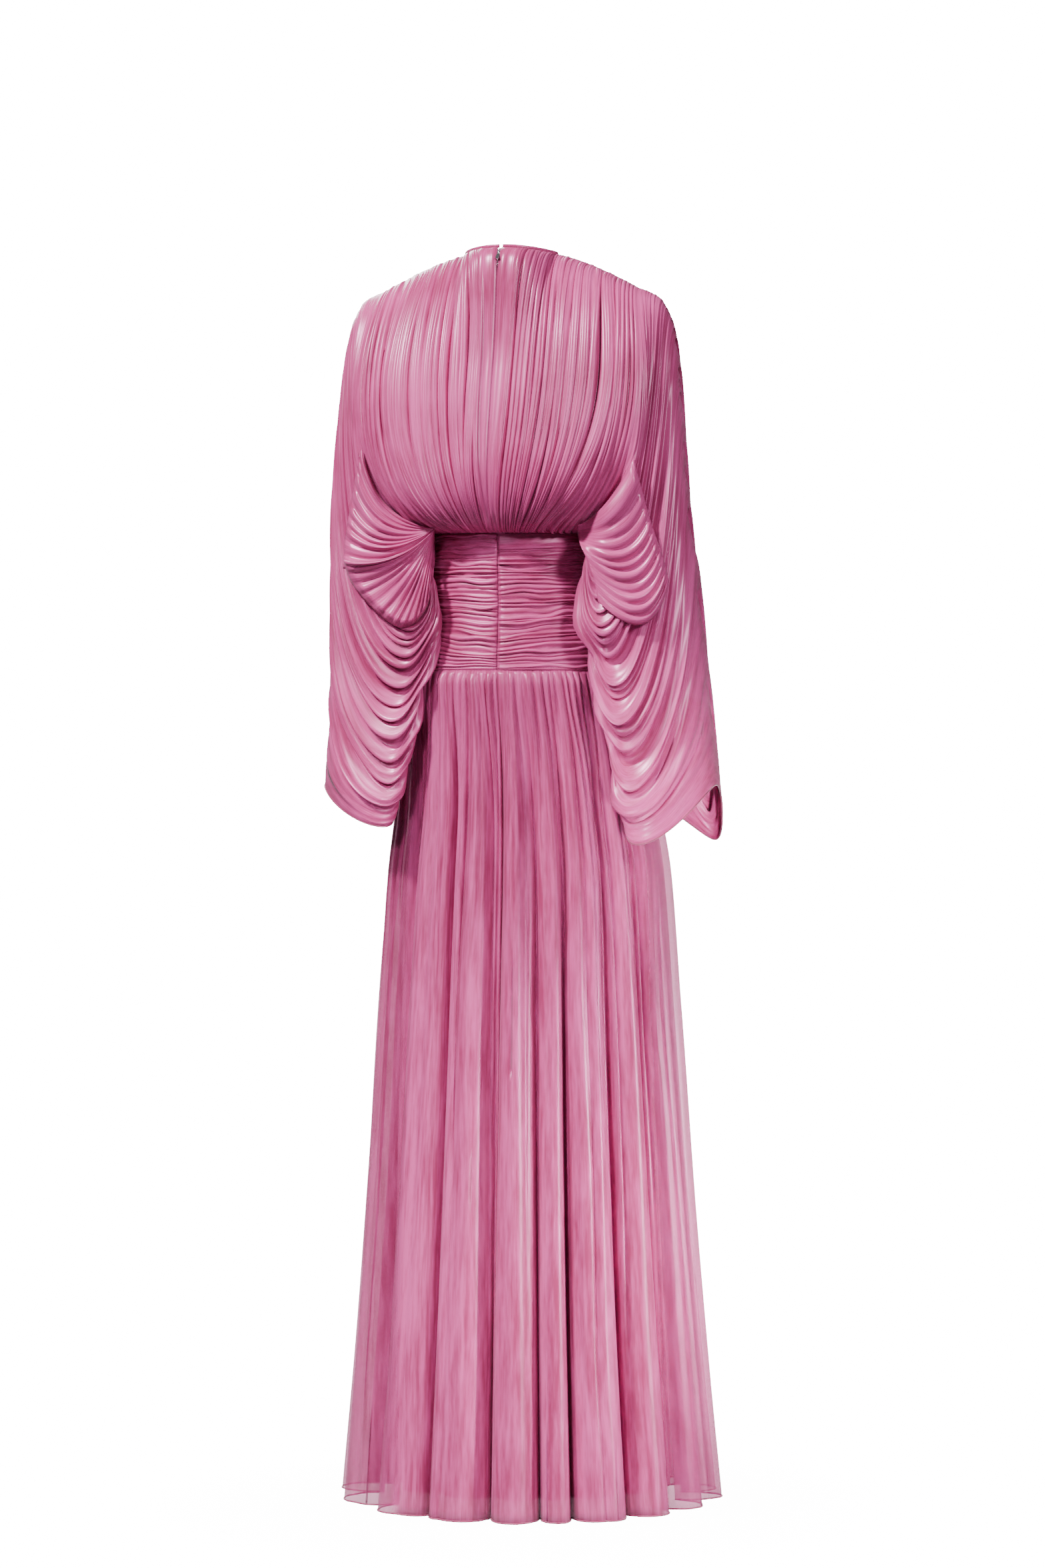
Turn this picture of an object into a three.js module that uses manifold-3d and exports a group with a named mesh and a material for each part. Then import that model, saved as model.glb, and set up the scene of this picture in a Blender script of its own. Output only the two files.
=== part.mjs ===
// A floor-length pleated chiffon dress, in the shape it takes when worn, with nobody in it.
// Units are millimetres. +Z is up, the front faces -Y, and the wearer's left is +X.
// The origin is midway between the shoulders, level with the sides of the neck.
import * as THREE from "three";
import { mergeVertices } from "three/addons/utils/BufferGeometryUtils.js";
import Module from "manifold-3d";

// Driving dimensions
const CLOTH = 1.3; // thickness of the chiffon, with its fine pleats
const SEAM = 0.3; // space between two pieces that are sewn together
const NECK = { halfWidth: 58, halfDepth: 60, backZ: 8, sideZ: 2, frontZ: -16 };
const SHOULDER = { x: 165, z: -42 }; // where the shoulder seam meets the armhole
const WAIST = { z: -352, halfWidth: 106, halfDepth: 82 }; // top edge of the waistband
const BAND_FOOT = { z: -524, halfWidth: 138, halfDepth: 104 }; // bottom edge of the waistband
const BAND_WALL = 3; // the waistband is tucked chiffon over a firm base
const BODICE_LAP = 2.5; // the bodice is sewn this far outside the waistband
const BODICE_FOOT_TURN = 76; // degrees round the waist, from the centre, to where a sleeve begins
const SKIRT_HEM_Z = -1567;
const UNDERSKIRT_HEM_Z = -1529;
const HEM_DIP = 9; // the hem hangs this much lower at the centre back

// Counts of folds
const BODICE_PLEATS = 14; // on each of the four bodice quarters
const SLEEVE_FOLDS = 12; // swags on one sleeve
const BAND_FOLDS = 22; // horizontal tucks on the waistband
const SKIRT_GATHERS = 48; // all round the top of the skirt

// Mesh steps
const STEPS_PER_PLEAT = 2;
const STEPS_PER_SWAG = 3;
const STEPS_PER_GATHER = 3;
const STEPS_PER_FLUTE = 4;
const HALF_RING_STEPS = 8; // from the shoulder line down to the waist or the underarm
const PLAIN_STEPS = 2; // columns of the plain strip beside the zip
const SKIRT_LEVELS = [0, 0.02, 0.15, 0.34, 0.62, 1];
const BAND_COLUMNS_QUARTER = 5;

const COLOURS = { chiffon: 0xc27a9f, lining: 0xb0698f, silver: 0xc9c9cf };

const HALF_TURN = Math.PI;
const QUARTER_TURN = Math.PI / 2;
const radians = THREE.MathUtils.degToRad;
const vector = (x, y, z) => new THREE.Vector3(x, y, z);
const mix = THREE.MathUtils.lerp;
const smooth = (low, high, x) => THREE.MathUtils.smoothstep(x, low, high);

// A repeatable number from 0 to 1 for the fold with this index.
function uneven(index, seed) {
  const wave = Math.sin(index * 12.9898 + seed * 78.233) * 43758.5453;
  return wave - Math.floor(wave);
}

// Reads one column of a table at a place between its rows, with a smooth curve through them.
function readTable(rows, key, at, column) {
  const last = rows.length - 1;
  const rising = Math.sign(rows[last][key] - rows[0][key]);
  let i = 0;
  while (i < last - 1 && rising * at > rising * rows[i + 1][key]) i += 1;
  const slope = (a, b) => (rows[b][column] - rows[a][column]) / (rows[b][key] - rows[a][key]);
  const span = rows[i + 1][key] - rows[i][key];
  const f = (at - rows[i][key]) / span;
  const startSlope = i > 0 ? slope(i - 1, i + 1) : slope(i, i + 1);
  const endSlope = i + 1 < last ? slope(i, i + 2) : slope(i, i + 1);
  if (f < 0) return rows[i][column] + startSlope * span * f;
  if (f > 1) return rows[i + 1][column] + endSlope * span * (f - 1);
  const h00 = 2 * f ** 3 - 3 * f ** 2 + 1;
  const h10 = f ** 3 - 2 * f ** 2 + f;
  return h00 * rows[i][column] + h10 * span * startSlope
    + (1 - h00) * rows[i + 1][column] + (f ** 3 - f ** 2) * span * endSlope;
}

// Drape curves. Each one leaves the neckline, the shoulder seam or the outside of the arm,
// swings round the back or the front, and ends at the waist seam or the underarm seam.
// `across` is 0 at the centre of the body, 1 at the armhole and 2 at the sleeve's hem.
// `out` is how far a curve's middle stands out to the back or front, `shift` is how far it moves
// away from the body, and `droop` is how far it sags. `lowHalf` is half a sleeve's flat underside,
// `rightDroop` is how much more the right sleeve sags, and `lean` gathers the sag towards the
// outside of the arm and the shift towards the inside.
const BODICE_DRAPES = [
  { across: 0, backOut: 76, frontOut: 88, shift: 0, droop: 14 },
  { across: 0.35, backOut: 82, frontOut: 98, shift: 6, droop: 20 },
  { across: 0.7, backOut: 86, frontOut: 92, shift: 20, droop: 28 },
  { across: 1, backOut: 82, frontOut: 82, shift: 40, droop: 32 },
];
const SLEEVE_DRAPES = [
  { along: 0, topLeft: 165, topRight: 165, topZ: -42, lowLeft: 105.3, lowRight: 105.3, lowZ: -352,
    lowHalf: 20.4, rightDroop: 0, shiftLeft: 40, shiftRight: 40, shiftFront: 40, backOut: 82,
    frontOut: 82, droop: 32, lean: 0 },
  { along: 0.03, topLeft: 176, topRight: 176, topZ: -46, lowLeft: 112, lowRight: 112, lowZ: -352.2,
    lowHalf: 20, rightDroop: 0, shiftLeft: 33, shiftRight: 34, shiftFront: 36, backOut: 82,
    frontOut: 82, droop: 42, lean: 0.05 },
  { along: 0.1, topLeft: 193, topRight: 193, topZ: -58, lowLeft: 119, lowRight: 121, lowZ: -362,
    lowHalf: 19, rightDroop: 0, shiftLeft: 14, shiftRight: 14, shiftFront: 28, backOut: 83,
    frontOut: 82, droop: 68, lean: 0.2 },
  { along: 0.2, topLeft: 208, topRight: 208, topZ: -92, lowLeft: 125, lowRight: 128, lowZ: -380,
    lowHalf: 18, rightDroop: 0, shiftLeft: -24, shiftRight: -18, shiftFront: 18, backOut: 86,
    frontOut: 83, droop: 106, lean: 0.4 },
  { along: 0.35, topLeft: 218, topRight: 217, topZ: -175, lowLeft: 133, lowRight: 139, lowZ: -410,
    lowHalf: 17, rightDroop: 0, shiftLeft: -62, shiftRight: -38, shiftFront: 8, backOut: 90,
    frontOut: 85, droop: 136, lean: 0.55 },
  { along: 0.5, topLeft: 223, topRight: 224, topZ: -285, lowLeft: 142, lowRight: 152, lowZ: -452,
    lowHalf: 16, rightDroop: 2, shiftLeft: -65, shiftRight: -38, shiftFront: 4, backOut: 92,
    frontOut: 87, droop: 138, lean: 0.6 },
  { along: 0.65, topLeft: 226, topRight: 236, topZ: -395, lowLeft: 150, lowRight: 165, lowZ: -512,
    lowHalf: 15, rightDroop: 6, shiftLeft: -60, shiftRight: -37, shiftFront: 8, backOut: 94,
    frontOut: 90, droop: 120, lean: 0.55 },
  { along: 0.8, topLeft: 230, topRight: 249, topZ: -515, lowLeft: 155, lowRight: 176, lowZ: -582,
    lowHalf: 14, rightDroop: 12, shiftLeft: -58, shiftRight: -39, shiftFront: 12, backOut: 96,
    frontOut: 93, droop: 92, lean: 0.4 },
  { along: 0.9, topLeft: 235, topRight: 257, topZ: -600, lowLeft: 157, lowRight: 182, lowZ: -640,
    lowHalf: 13, rightDroop: 16, shiftLeft: -55, shiftRight: -40, shiftFront: 15, backOut: 97,
    frontOut: 95, droop: 64, lean: 0.3 },
  { along: 1, topLeft: 242, topRight: 264, topZ: -668, lowLeft: 159, lowRight: 186, lowZ: -696,
    lowHalf: 12, rightDroop: 20, shiftLeft: -53, shiftRight: -40, shiftFront: 18, backOut: 98,
    frontOut: 97, droop: 38, lean: 0.2 },
];
const SHIFT_LEAN = 2.2; // the shift leans this much more than the sag
// The drape curves nearer the centre than this start on the neckline, the others on the shoulder.
const NECKLINE_SHARE = NECK.halfWidth / SHOULDER.x;
const NECK_SPREAD = 0.42; // how far down a drape curve the roundness of the neckline reaches

// Body rings below the waist: half width, half depth and centre at each height.
const BODY_RINGS = [
  { z: WAIST.z, halfWidth: WAIST.halfWidth, halfDepth: WAIST.halfDepth, x: 0, y: 0 },
  { z: -440, halfWidth: 121, halfDepth: 93, x: -4, y: 0 },
  { z: BAND_FOOT.z, halfWidth: BAND_FOOT.halfWidth, halfDepth: BAND_FOOT.halfDepth, x: -5, y: 0 },
  { z: -560, halfWidth: 143, halfDepth: 108, x: -7, y: -1 },
  { z: -620, halfWidth: 149, halfDepth: 114, x: -11, y: -10 },
  { z: -700, halfWidth: 156, halfDepth: 121, x: -14, y: -18 },
  { z: -780, halfWidth: 167, halfDepth: 130, x: -15, y: -22 },
  { z: -950, halfWidth: 178, halfDepth: 144, x: -15, y: -24 },
  { z: -1280, halfWidth: 200, halfDepth: 168, x: -17, y: -22 },
  { z: SKIRT_HEM_Z, halfWidth: 222, halfDepth: 188, x: -19, y: -20 },
];

// Valleys between the skirt's flutes, in degrees round from the centre back to the wearer's right.
// `pinch` is how deep the valley is beside the deepest ones.
const FLUTE_VALLEYS = [
  { at: -77, pinch: 1 },
  { at: -49, pinch: 0.9 },
  { at: -24, pinch: 0.35 },
  { at: -3, pinch: 1 },
  { at: 14, pinch: 0.9 },
  { at: 25, pinch: 1 },
  { at: 45, pinch: 0.85 },
  { at: 63, pinch: 0.8 },
  { at: 83, pinch: 0.8 },
  { at: 104, pinch: 1 },
  { at: 126, pinch: 0.9 },
  { at: 149, pinch: 0.7 },
  { at: 169, pinch: 1 },
  { at: 190, pinch: 0.8 },
  { at: 213, pinch: 1 },
  { at: 237, pinch: 0.75 },
  { at: 260, pinch: 0.9 },
];
const FLUTE = {
  depth: 21, // at the hem
  early: 0.28, // the share of the depth that is reached at earlyLevel
  earlyLevel: 0.18,
  narrowShare: 0.45, // how deep a very narrow flute is beside one of fullWidth
  fullWidth: 22, // degrees
  roundness: 0.13, // how far a flute swells sideways over its valleys, at the hem
  fullness: 0.8, // below 1 the ridges are rounder than the valleys
};
const GATHER = { depth: 3.2, from: 0.02, foot: 0.6 }; // below the waistband, by level

// A point of the shoulder ridge, which runs on level across the neck hole.
function ridgePoint(across) {
  const f = Math.max(0, (across - NECKLINE_SHARE) / (1 - NECKLINE_SHARE));
  return vector(SHOULDER.x * across, 0, mix(NECK.sideZ, SHOULDER.z, f ** 1.35));
}

// How far the neckline lies from that ridge. face is 1 for the back and -1 for the front.
function necklineOffset(across, face) {
  if (across >= NECKLINE_SHARE) return vector(0, 0, 0);
  const turn = (across / NECKLINE_SHARE) * QUARTER_TURN;
  const centreZ = face > 0 ? NECK.backZ : NECK.frontZ;
  return vector(NECK.halfWidth * Math.sin(turn), face * NECK.halfDepth * Math.cos(turn),
    mix(NECK.sideZ, centreZ, Math.cos(turn) ** 2)).sub(ridgePoint(across));
}

function bodiceFoot(across, face) {
  const turn = across * radians(BODICE_FOOT_TURN);
  return vector((WAIST.halfWidth + BODICE_LAP) * Math.sin(turn),
    face * (WAIST.halfDepth + BODICE_LAP) * Math.cos(turn), WAIST.z);
}

// One point of a drape curve. turn runs from 0 at the top to half a turn at the foot.
function drapePoint(top, foot, turn, face, drape) {
  const middle = top.clone().add(foot).multiplyScalar(0.5);
  const arm = top.clone().sub(foot).multiplyScalar(0.5 * Math.cos(turn));
  const swell = Math.sin(turn) ** 2;
  const lean = (drape.lean ?? 0) * Math.cos(turn);
  return middle.add(arm).add(vector(drape.shift * swell * (1 - SHIFT_LEAN * lean),
    face * drape.out * Math.abs(Math.sin(turn)), -drape.droop * swell * (1 + lean)));
}

// The bodice and sleeve cloth without folds. `place` is `across`, and negative on the wearer's
// right. turn is positive on the back and negative on the front.
function topCloth(place, turn) {
  const side = place < 0 ? -1 : 1;
  const across = Math.abs(place);
  const face = turn < 0 ? -1 : 1;
  const outColumn = face > 0 ? "backOut" : "frontOut";
  let point;
  if (across <= 1) {
    const read = (column) => readTable(BODICE_DRAPES, "across", across, column);
    point = drapePoint(ridgePoint(across), bodiceFoot(across, face), Math.abs(turn), face, {
      out: read(outColumn), shift: read("shift"), droop: read("droop"),
    });
    const nearNeck = 1 - smooth(0, NECK_SPREAD, Math.abs(turn) / HALF_TURN);
    point.addScaledVector(necklineOffset(across, face), nearNeck);
  } else {
    const read = (column) => readTable(SLEEVE_DRAPES, "along", across - 1, column);
    const hand = side > 0 ? "Left" : "Right";
    const top = vector(read("top" + hand), 0, read("topZ"));
    const foot = vector(read("low" + hand), face * read("lowHalf"), read("lowZ"));
    point = drapePoint(top, foot, Math.abs(turn), face, {
      out: read(outColumn), shift: read(face > 0 ? "shift" + hand : "shiftFront"),
      droop: read("droop") + (side < 0 ? read("rightDroop") : 0), lean: read("lean"),
    });
  }
  point.x *= side;
  return point;
}

const NEAR = { place: 0.004, turn: 0.02, end: 0.001 }; // steps that measure the cloth's direction

// The outward direction of that cloth, and how many millimetres apart its drape curves lie for
// one unit of `across`. It looks only at its own side of the shoulder line.
function topFrame(place, turn) {
  const face = turn < 0 ? -1 : 1;
  const half = Math.abs(turn);
  const alongPlace = topCloth(place + NEAR.place, turn).sub(topCloth(place - NEAR.place, turn));
  const start = Math.max(half - NEAR.turn, NEAR.end);
  const end = Math.min(half + NEAR.turn, HALF_TURN - NEAR.end);
  const down = topCloth(place, face * end).sub(topCloth(place, face * start)).normalize();
  const outward = alongPlace.cross(down).multiplyScalar(face);
  return { spread: outward.length() / (2 * NEAR.place), outward: outward.normalize() };
}

// The middle of the sleeve's hollow, level with this place.
function sleeveCore(place) {
  const core = topCloth(place, -QUARTER_TURN).add(topCloth(place, QUARTER_TURN)).multiplyScalar(0.5);
  core.z += 0.5 * readTable(SLEEVE_DRAPES, "along", Math.abs(place) - 1, "droop");
  return core;
}

// The depth of the fold with this index, as a share of the usual one.
const unevenDepth = (index, seed) => mix(0.65, 1.35, uneven(index, seed));

// A wave that is 0 at the seams between folds.
const foldWave = (phase, seed) => unevenDepth(Math.floor(phase), seed) * Math.sin(2 * Math.PI * phase);

// A row of raised pleats, each with its ridge in the middle.
const pleatWave = (phase, seed) => unevenDepth(Math.floor(phase), seed)
  * (0.5 - 0.5 * Math.cos(2 * Math.PI * phase));

const PLAIN_SHARE = 0.08; // the strip beside the zip has no pleats
// How deep the folds are, and how much of that is left towards each end of a drape curve. The
// stretches are shares of the curve, from the shoulder line to its foot.
const PLEAT = { depth: 5, top: [0, 0.12], topShare: 0, foot: [0.75, 1], footShare: 0.4 };
const SWAG = {
  depth: 8, top: [0, 0.4], topShare: 0.16, foot: [0.66, 0.94], footShare: 0.12,
  armhole: [0, 0.12], hem: [0.86, 1], hemShare: 0.3,
  fullWidth: 30, // swags closer together than this are shallower
  wander: 0.012, wanderTurns: 17, // their spacing varies along the sleeve
};

// The share of a fold's depth that is left at this share of its drape curve.
const endShare = (fold, half) => mix(fold.topShare, 1, smooth(...fold.top, half))
  * mix(1, fold.footShare, smooth(...fold.foot, half));

function bodiceFold(across, turn) {
  const f = (across - PLAIN_SHARE) / (1 - PLAIN_SHARE);
  if (f <= 0) return 0;
  const depth = PLEAT.depth * endShare(PLEAT, Math.abs(turn) / HALF_TURN);
  return depth * pleatWave(f * BODICE_PLEATS, turn < 0 ? 2 : 1);
}

// The swags are shallower where their curves run close together.
function sleeveFold(side, along, turn, spread) {
  const length = smooth(...SWAG.armhole, along) * mix(1, SWAG.hemShare, smooth(...SWAG.hem, along));
  const room = Math.min(1, spread / SLEEVE_FOLDS / SWAG.fullWidth);
  const depth = SWAG.depth * endShare(SWAG, Math.abs(turn) / HALF_TURN) * length * room;
  const place = along + SWAG.wander * Math.sin(along * SWAG.wanderTurns + side);
  return depth * foldWave(place * SLEEVE_FOLDS, 3 + side);
}

const LEVEL_FROM = 0.85; // the pleats turn level over the last of a drape curve

// The bodice and sleeve cloth with its folds, which stay level where they meet the waistband.
function foldedTop(place, turn) {
  const across = Math.abs(place);
  const { outward, spread } = topFrame(place, turn);
  if (across > 1) {
    const fold = sleeveFold(Math.sign(place), across - 1, turn, spread);
    return topCloth(place, turn).addScaledVector(outward, fold);
  }
  outward.z *= 1 - smooth(LEVEL_FROM, 1, Math.abs(turn) / HALF_TURN);
  return topCloth(place, turn).addScaledVector(outward.normalize(), bodiceFold(across, turn));
}

// The same on the back (face 1) or front (face -1), carried on in a straight line past the
// neckline and the waist.
function bodiceCloth(place, turn, face) {
  const half = face * turn;
  const at = (value) => foldedTop(place, face * Math.max(value, 1e-6));
  if (half > HALF_TURN) return at(HALF_TURN).multiplyScalar(2).sub(at(2 * HALF_TURN - half));
  if (half >= 0) return at(half);
  if (Math.abs(place) > NECKLINE_SHARE) return foldedTop(place, turn);
  return at(0).multiplyScalar(2).sub(at(-half));
}

// A point on the body ring at this height. turn is from the centre back to the wearer's right.
function bodyPoint(z, turn, out = 0) {
  const read = (column) => readTable(BODY_RINGS, "z", z, column);
  const [a, b] = [read("halfWidth"), read("halfDepth")];
  const away = vector(-Math.sin(turn) / a, Math.cos(turn) / b, 0).normalize();
  return vector(read("x") - a * Math.sin(turn), read("y") + b * Math.cos(turn), z)
    .addScaledVector(away, out);
}

// Where an angle lies among the skirt's flutes.
function fluteAt(turn) {
  const degrees = THREE.MathUtils.radToDeg(turn);
  const first = FLUTE_VALLEYS[0].at;
  const at = first + THREE.MathUtils.euclideanModulo(degrees - first, 360);
  const index = FLUTE_VALLEYS.findLastIndex((valley) => valley.at <= at);
  const start = FLUTE_VALLEYS[index];
  const end = FLUTE_VALLEYS[index + 1] ?? { at: first + 360, pinch: FLUTE_VALLEYS[0].pinch };
  const share = (at - start.at) / (end.at - start.at);
  return { share, width: end.at - start.at, pinch: share < 0.5 ? start.pinch : end.pinch };
}

// The skirt's cloth at a level from 0 at the waistband to 1 at the hem. inset moves it inwards.
function skirtPoint(level, turn, options) {
  const { hemZ = SKIRT_HEM_Z, inset = 0, topInset = 0, flutes = 1, gathers = 1 } = options;
  const z = mix(BAND_FOOT.z, hemZ - HEM_DIP * Math.max(0, Math.cos(turn)), level);
  const flute = fluteAt(turn);
  const growth = flutes * mix(level, smooth(0, FLUTE.earlyLevel, level), FLUTE.early);
  const widthShare = mix(FLUTE.narrowShare, 1, Math.min(1, flute.width / FLUTE.fullWidth));
  const ridge = 0.5 - 0.5 * Math.cos(2 * Math.PI * flute.share);
  const bump = FLUTE.depth * growth * widthShare
    * (2 * ridge ** FLUTE.fullness - 1 + (1 - flute.pinch) * (1 - ridge));
  const swell = radians(flute.width) * FLUTE.roundness * growth
    * Math.sin(2 * Math.PI * flute.share);
  const below = smooth(0, GATHER.from, level);
  const phase = THREE.MathUtils.euclideanModulo(turn / (2 * Math.PI), 1) * SKIRT_GATHERS;
  const gather = GATHER.depth * gathers * below * (1 - smooth(GATHER.from, GATHER.foot, level))
    * foldWave(phase, 7);
  return bodyPoint(z, turn - swell, bump + gather - inset * below - topInset);
}

// Builds a closed wall from a grid of outer points and a grid of inner points, both as columns.
// The two grids have the same number of columns and may have different numbers of rows.
function wallGeometry(outer, inner, closed = false) {
  const positions = [];
  const faces = [];
  const place = (columns) => columns.map((column) => column.map((point) => {
    positions.push(point.x, point.y, point.z);
    return positions.length / 3 - 1;
  }));
  const [o, n] = [place(outer), place(inner)];
  const joinColumns = (grid, flip) => {
    const count = closed ? grid.length : grid.length - 1;
    for (let i = 0; i < count; i += 1) {
      const [a, b] = [grid[i], grid[(i + 1) % grid.length]];
      for (let j = 0; j + 1 < a.length; j += 1) {
        const quad = [[a[j], b[j], b[j + 1]], [a[j], b[j + 1], a[j + 1]]];
        quad.forEach((face) => faces.push(flip ? face.reverse() : face));
      }
    }
  };
  // Joins two rows of points, which may differ in number, with triangles.
  const joinRows = (a, b, flip) => {
    const [lastA, lastB] = [a.length - 1, b.length - 1];
    let [i, j] = [0, 0];
    while (i < lastA || j < lastB) {
      const takeA = j === lastB || (i < lastA && (i + 1) * lastB <= (j + 1) * lastA);
      const face = takeA ? [a[i], a[i + 1], b[j]] : [a[i], b[j + 1], b[j]];
      faces.push(flip ? face.reverse() : face);
      if (takeA) i += 1;
      else j += 1;
    }
  };
  const row = (grid, pick) => {
    const points = grid.map((column) => column[pick(column)]);
    return closed ? [...points, points[0]] : points;
  };
  joinColumns(o, false);
  joinColumns(n, true);
  joinRows(row(o, () => 0), row(n, () => 0), true);
  joinRows(row(o, (column) => column.length - 1), row(n, (column) => column.length - 1), false);
  if (!closed) {
    joinRows(o[0], n[0], false);
    joinRows(o[o.length - 1], n[n.length - 1], true);
  }
  if (signedVolume(positions, faces) < 0) faces.forEach((face) => face.reverse());
  const geometry = new THREE.BufferGeometry();
  geometry.setAttribute("position", new THREE.Float32BufferAttribute(positions, 3));
  geometry.setIndex(faces.flat());
  geometry.computeVertexNormals();
  return geometry;
}

function signedVolume(positions, faces) {
  const corner = (index) => vector(...positions.slice(3 * index, 3 * index + 3));
  return faces.reduce((sum, [a, b, c]) => sum + corner(a).dot(corner(b).cross(corner(c))) / 6, 0);
}

// Samples cloth(u, v) with one extra row and column all round, so that a wall's direction at a
// seam is the same on both pieces, and returns the outer and inner columns. `core` is a point in
// the hollow that the wall goes round.
function clothWall(cloth, us, vs, { core, gaps = {}, closed = false }) {
  const extended = (values) => [2 * values[0] - values[1], ...values,
    2 * values[values.length - 1] - values[values.length - 2]];
  const uList = closed ? [us[us.length - 1], ...us, us[0]] : extended(us);
  const points = uList.map((u) => extended(vs).map((v) => cloth(u, v)));
  const outer = points.slice(1, -1).map((column) => column.slice(1, -1).map((point) => point.clone()));
  const normals = outer.map((column, i) => column.map((_, j) => {
    const across = points[i + 2][j + 1].clone().sub(points[i][j + 1]);
    const down = points[i + 1][j + 2].clone().sub(points[i + 1][j]);
    return across.cross(down).normalize();
  }));
  const outwardness = outer.flatMap((column, i) => column.map((point, j) => (
    Math.sign(normals[i][j].dot(point.clone().sub(core(us[i], vs[j])))))));
  const inward = -Math.sign(outwardness.reduce((sum, sign) => sum + sign, 0));
  const inner = outer.map((column, i) => column.map((point, j) => (
    point.clone().addScaledVector(normals[i][j], inward * CLOTH))));
  pullEdges(outer, gaps);
  pullEdges(inner, gaps);
  return [outer, inner];
}

// Moves the points of an edge into the piece, which leaves half of a seam's space.
function pullEdges(columns, { start, end, top, bottom }) {
  const last = columns.length - 1;
  const pull = (point, next, distance) => point.add(next.clone().sub(point).setLength(distance));
  columns[0].forEach((point, j) => start && pull(point, columns[1][j], start(j)));
  columns[last].forEach((point, j) => end && pull(point, columns[last - 1][j], end(j)));
  columns.forEach((column) => {
    if (top) pull(column[0], column[1], top);
    if (bottom) pull(column[column.length - 1], column[column.length - 2], bottom);
  });
}

const steps = (from, to, count) => Array.from({ length: count + 1 }, (_, i) => mix(from, to, i / count));
const dress = new THREE.Group();

function add(name, geometry, colour = COLOURS.chiffon, group = dress, metal = false) {
  const material = new THREE.MeshStandardMaterial({
    color: colour, roughness: metal ? 0.3 : 0.6, metalness: metal ? 1 : 0,
  });
  const mesh = new THREE.Mesh(geometry, material);
  mesh.name = name;
  group.add(mesh);
  return mesh;
}

// Half the width of the centre-back opening: a hairline that widens to a small V at the neck.
const ZIP_MOUTH = { half: 2.2, foot: -34 };
const openingHalf = (z) => mix(SEAM / 2, ZIP_MOUTH.half, smooth(ZIP_MOUTH.foot, NECK.backZ, z));

const pleatedSteps = [
  ...steps(0, PLAIN_SHARE, PLAIN_STEPS).slice(0, -1),
  ...steps(PLAIN_SHARE, 1, BODICE_PLEATS * STEPS_PER_PLEAT),
];
const bodiceCore = () => vector(0, 0, -190);

function makeBodiceBack(name, side) {
  const turns = steps(0, HALF_TURN, HALF_RING_STEPS);
  const centreZ = turns.map((turn) => topCloth(0, turn).z);
  const cloth = (across, turn) => bodiceCloth(side * across, turn, 1);
  const [outer, inner] = clothWall(cloth, pleatedSteps, turns, {
    core: bodiceCore,
    gaps: { start: (j) => openingHalf(centreZ[j]), end: () => SEAM / 2, top: SEAM / 2, bottom: SEAM / 2 },
  });
  add(name, wallGeometry(outer, inner));
}

function makeBodiceFront() {
  const turns = steps(0, -HALF_TURN, HALF_RING_STEPS);
  const places = [...pleatedSteps.map((u) => -u).reverse(), ...pleatedSteps.slice(1)];
  const [outer, inner] = clothWall((place, turn) => bodiceCloth(place, turn, -1), places, turns, {
    core: bodiceCore,
    gaps: { start: () => SEAM / 2, end: () => SEAM / 2, top: SEAM / 2, bottom: SEAM / 2 },
  });
  add("bodice_front", wallGeometry(outer, inner));
}

// A sleeve is one wide tube. It starts at a deep armhole that reaches the waist.
function makeSleeve(name, side) {
  const round = steps(-HALF_TURN, HALF_TURN, 2 * HALF_RING_STEPS);
  const along = steps(1, 2, SLEEVE_FOLDS * STEPS_PER_SWAG);
  const [outer, inner] = clothWall((turn, across) => foldedTop(side * across, turn), round, along, {
    closed: true, core: (turn, across) => sleeveCore(side * across),
    gaps: { top: SEAM / 2 },
  });
  add(name, wallGeometry(outer, inner, true));
}

// The waistband is a plain wall with horizontal tucks raised on its outside.
const TUCK_HEIGHT = 2.2;
const TUCK_DIP = 9; // the lower tucks run down towards the centre back seam
const DIP_START = 0.25; // how far down the band the dip begins
const DIP_DEEPEST = 0.8;
const DIP_SHARPNESS = 9; // how close to the seam the dip stays

function makeBand(name, turns, gaps) {
  const height = WAIST.z - BAND_FOOT.z;
  const bandPoint = (turn, f, out) => {
    const depth = smooth(DIP_START, DIP_DEEPEST, f) * (1 - smooth(DIP_DEEPEST, 1, f));
    const dip = TUCK_DIP * depth * Math.max(0, Math.cos(turn)) ** DIP_SHARPNESS;
    return bodyPoint(WAIST.z - height * f - dip, turn, out);
  };
  const rows = steps(0, 1, 2 * BAND_FOLDS);
  const outer = turns.map((turn) => rows.map((f, j) => {
    const raised = j % 2 === 1 ? TUCK_HEIGHT * (0.6 + 0.4 * uneven(j, 5)) : 0;
    return bandPoint(turn, f, raised);
  }));
  const inner = turns.map((turn) => [0, 0.5, 1].map((f) => (
    bodyPoint(WAIST.z - height * f, turn, -BAND_WALL))));
  pullEdges(outer, gaps);
  pullEdges(inner, gaps);
  add(name, wallGeometry(outer, inner));
}

function makeWaistband() {
  const half = () => SEAM / 2;
  const gaps = { start: half, end: half, top: SEAM / 2, bottom: SEAM / 2 };
  const quarter = BAND_COLUMNS_QUARTER;
  makeBand("waistband_back_right", steps(0, QUARTER_TURN, quarter), gaps);
  makeBand("waistband_front", steps(QUARTER_TURN, 3 * QUARTER_TURN, 2 * quarter), gaps);
  makeBand("waistband_back_left", steps(3 * QUARTER_TURN, 4 * QUARTER_TURN, quarter), gaps);
}

const SKIRT_CORE_DEPTH = 90; // inside the skirt, well clear of every flute

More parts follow.
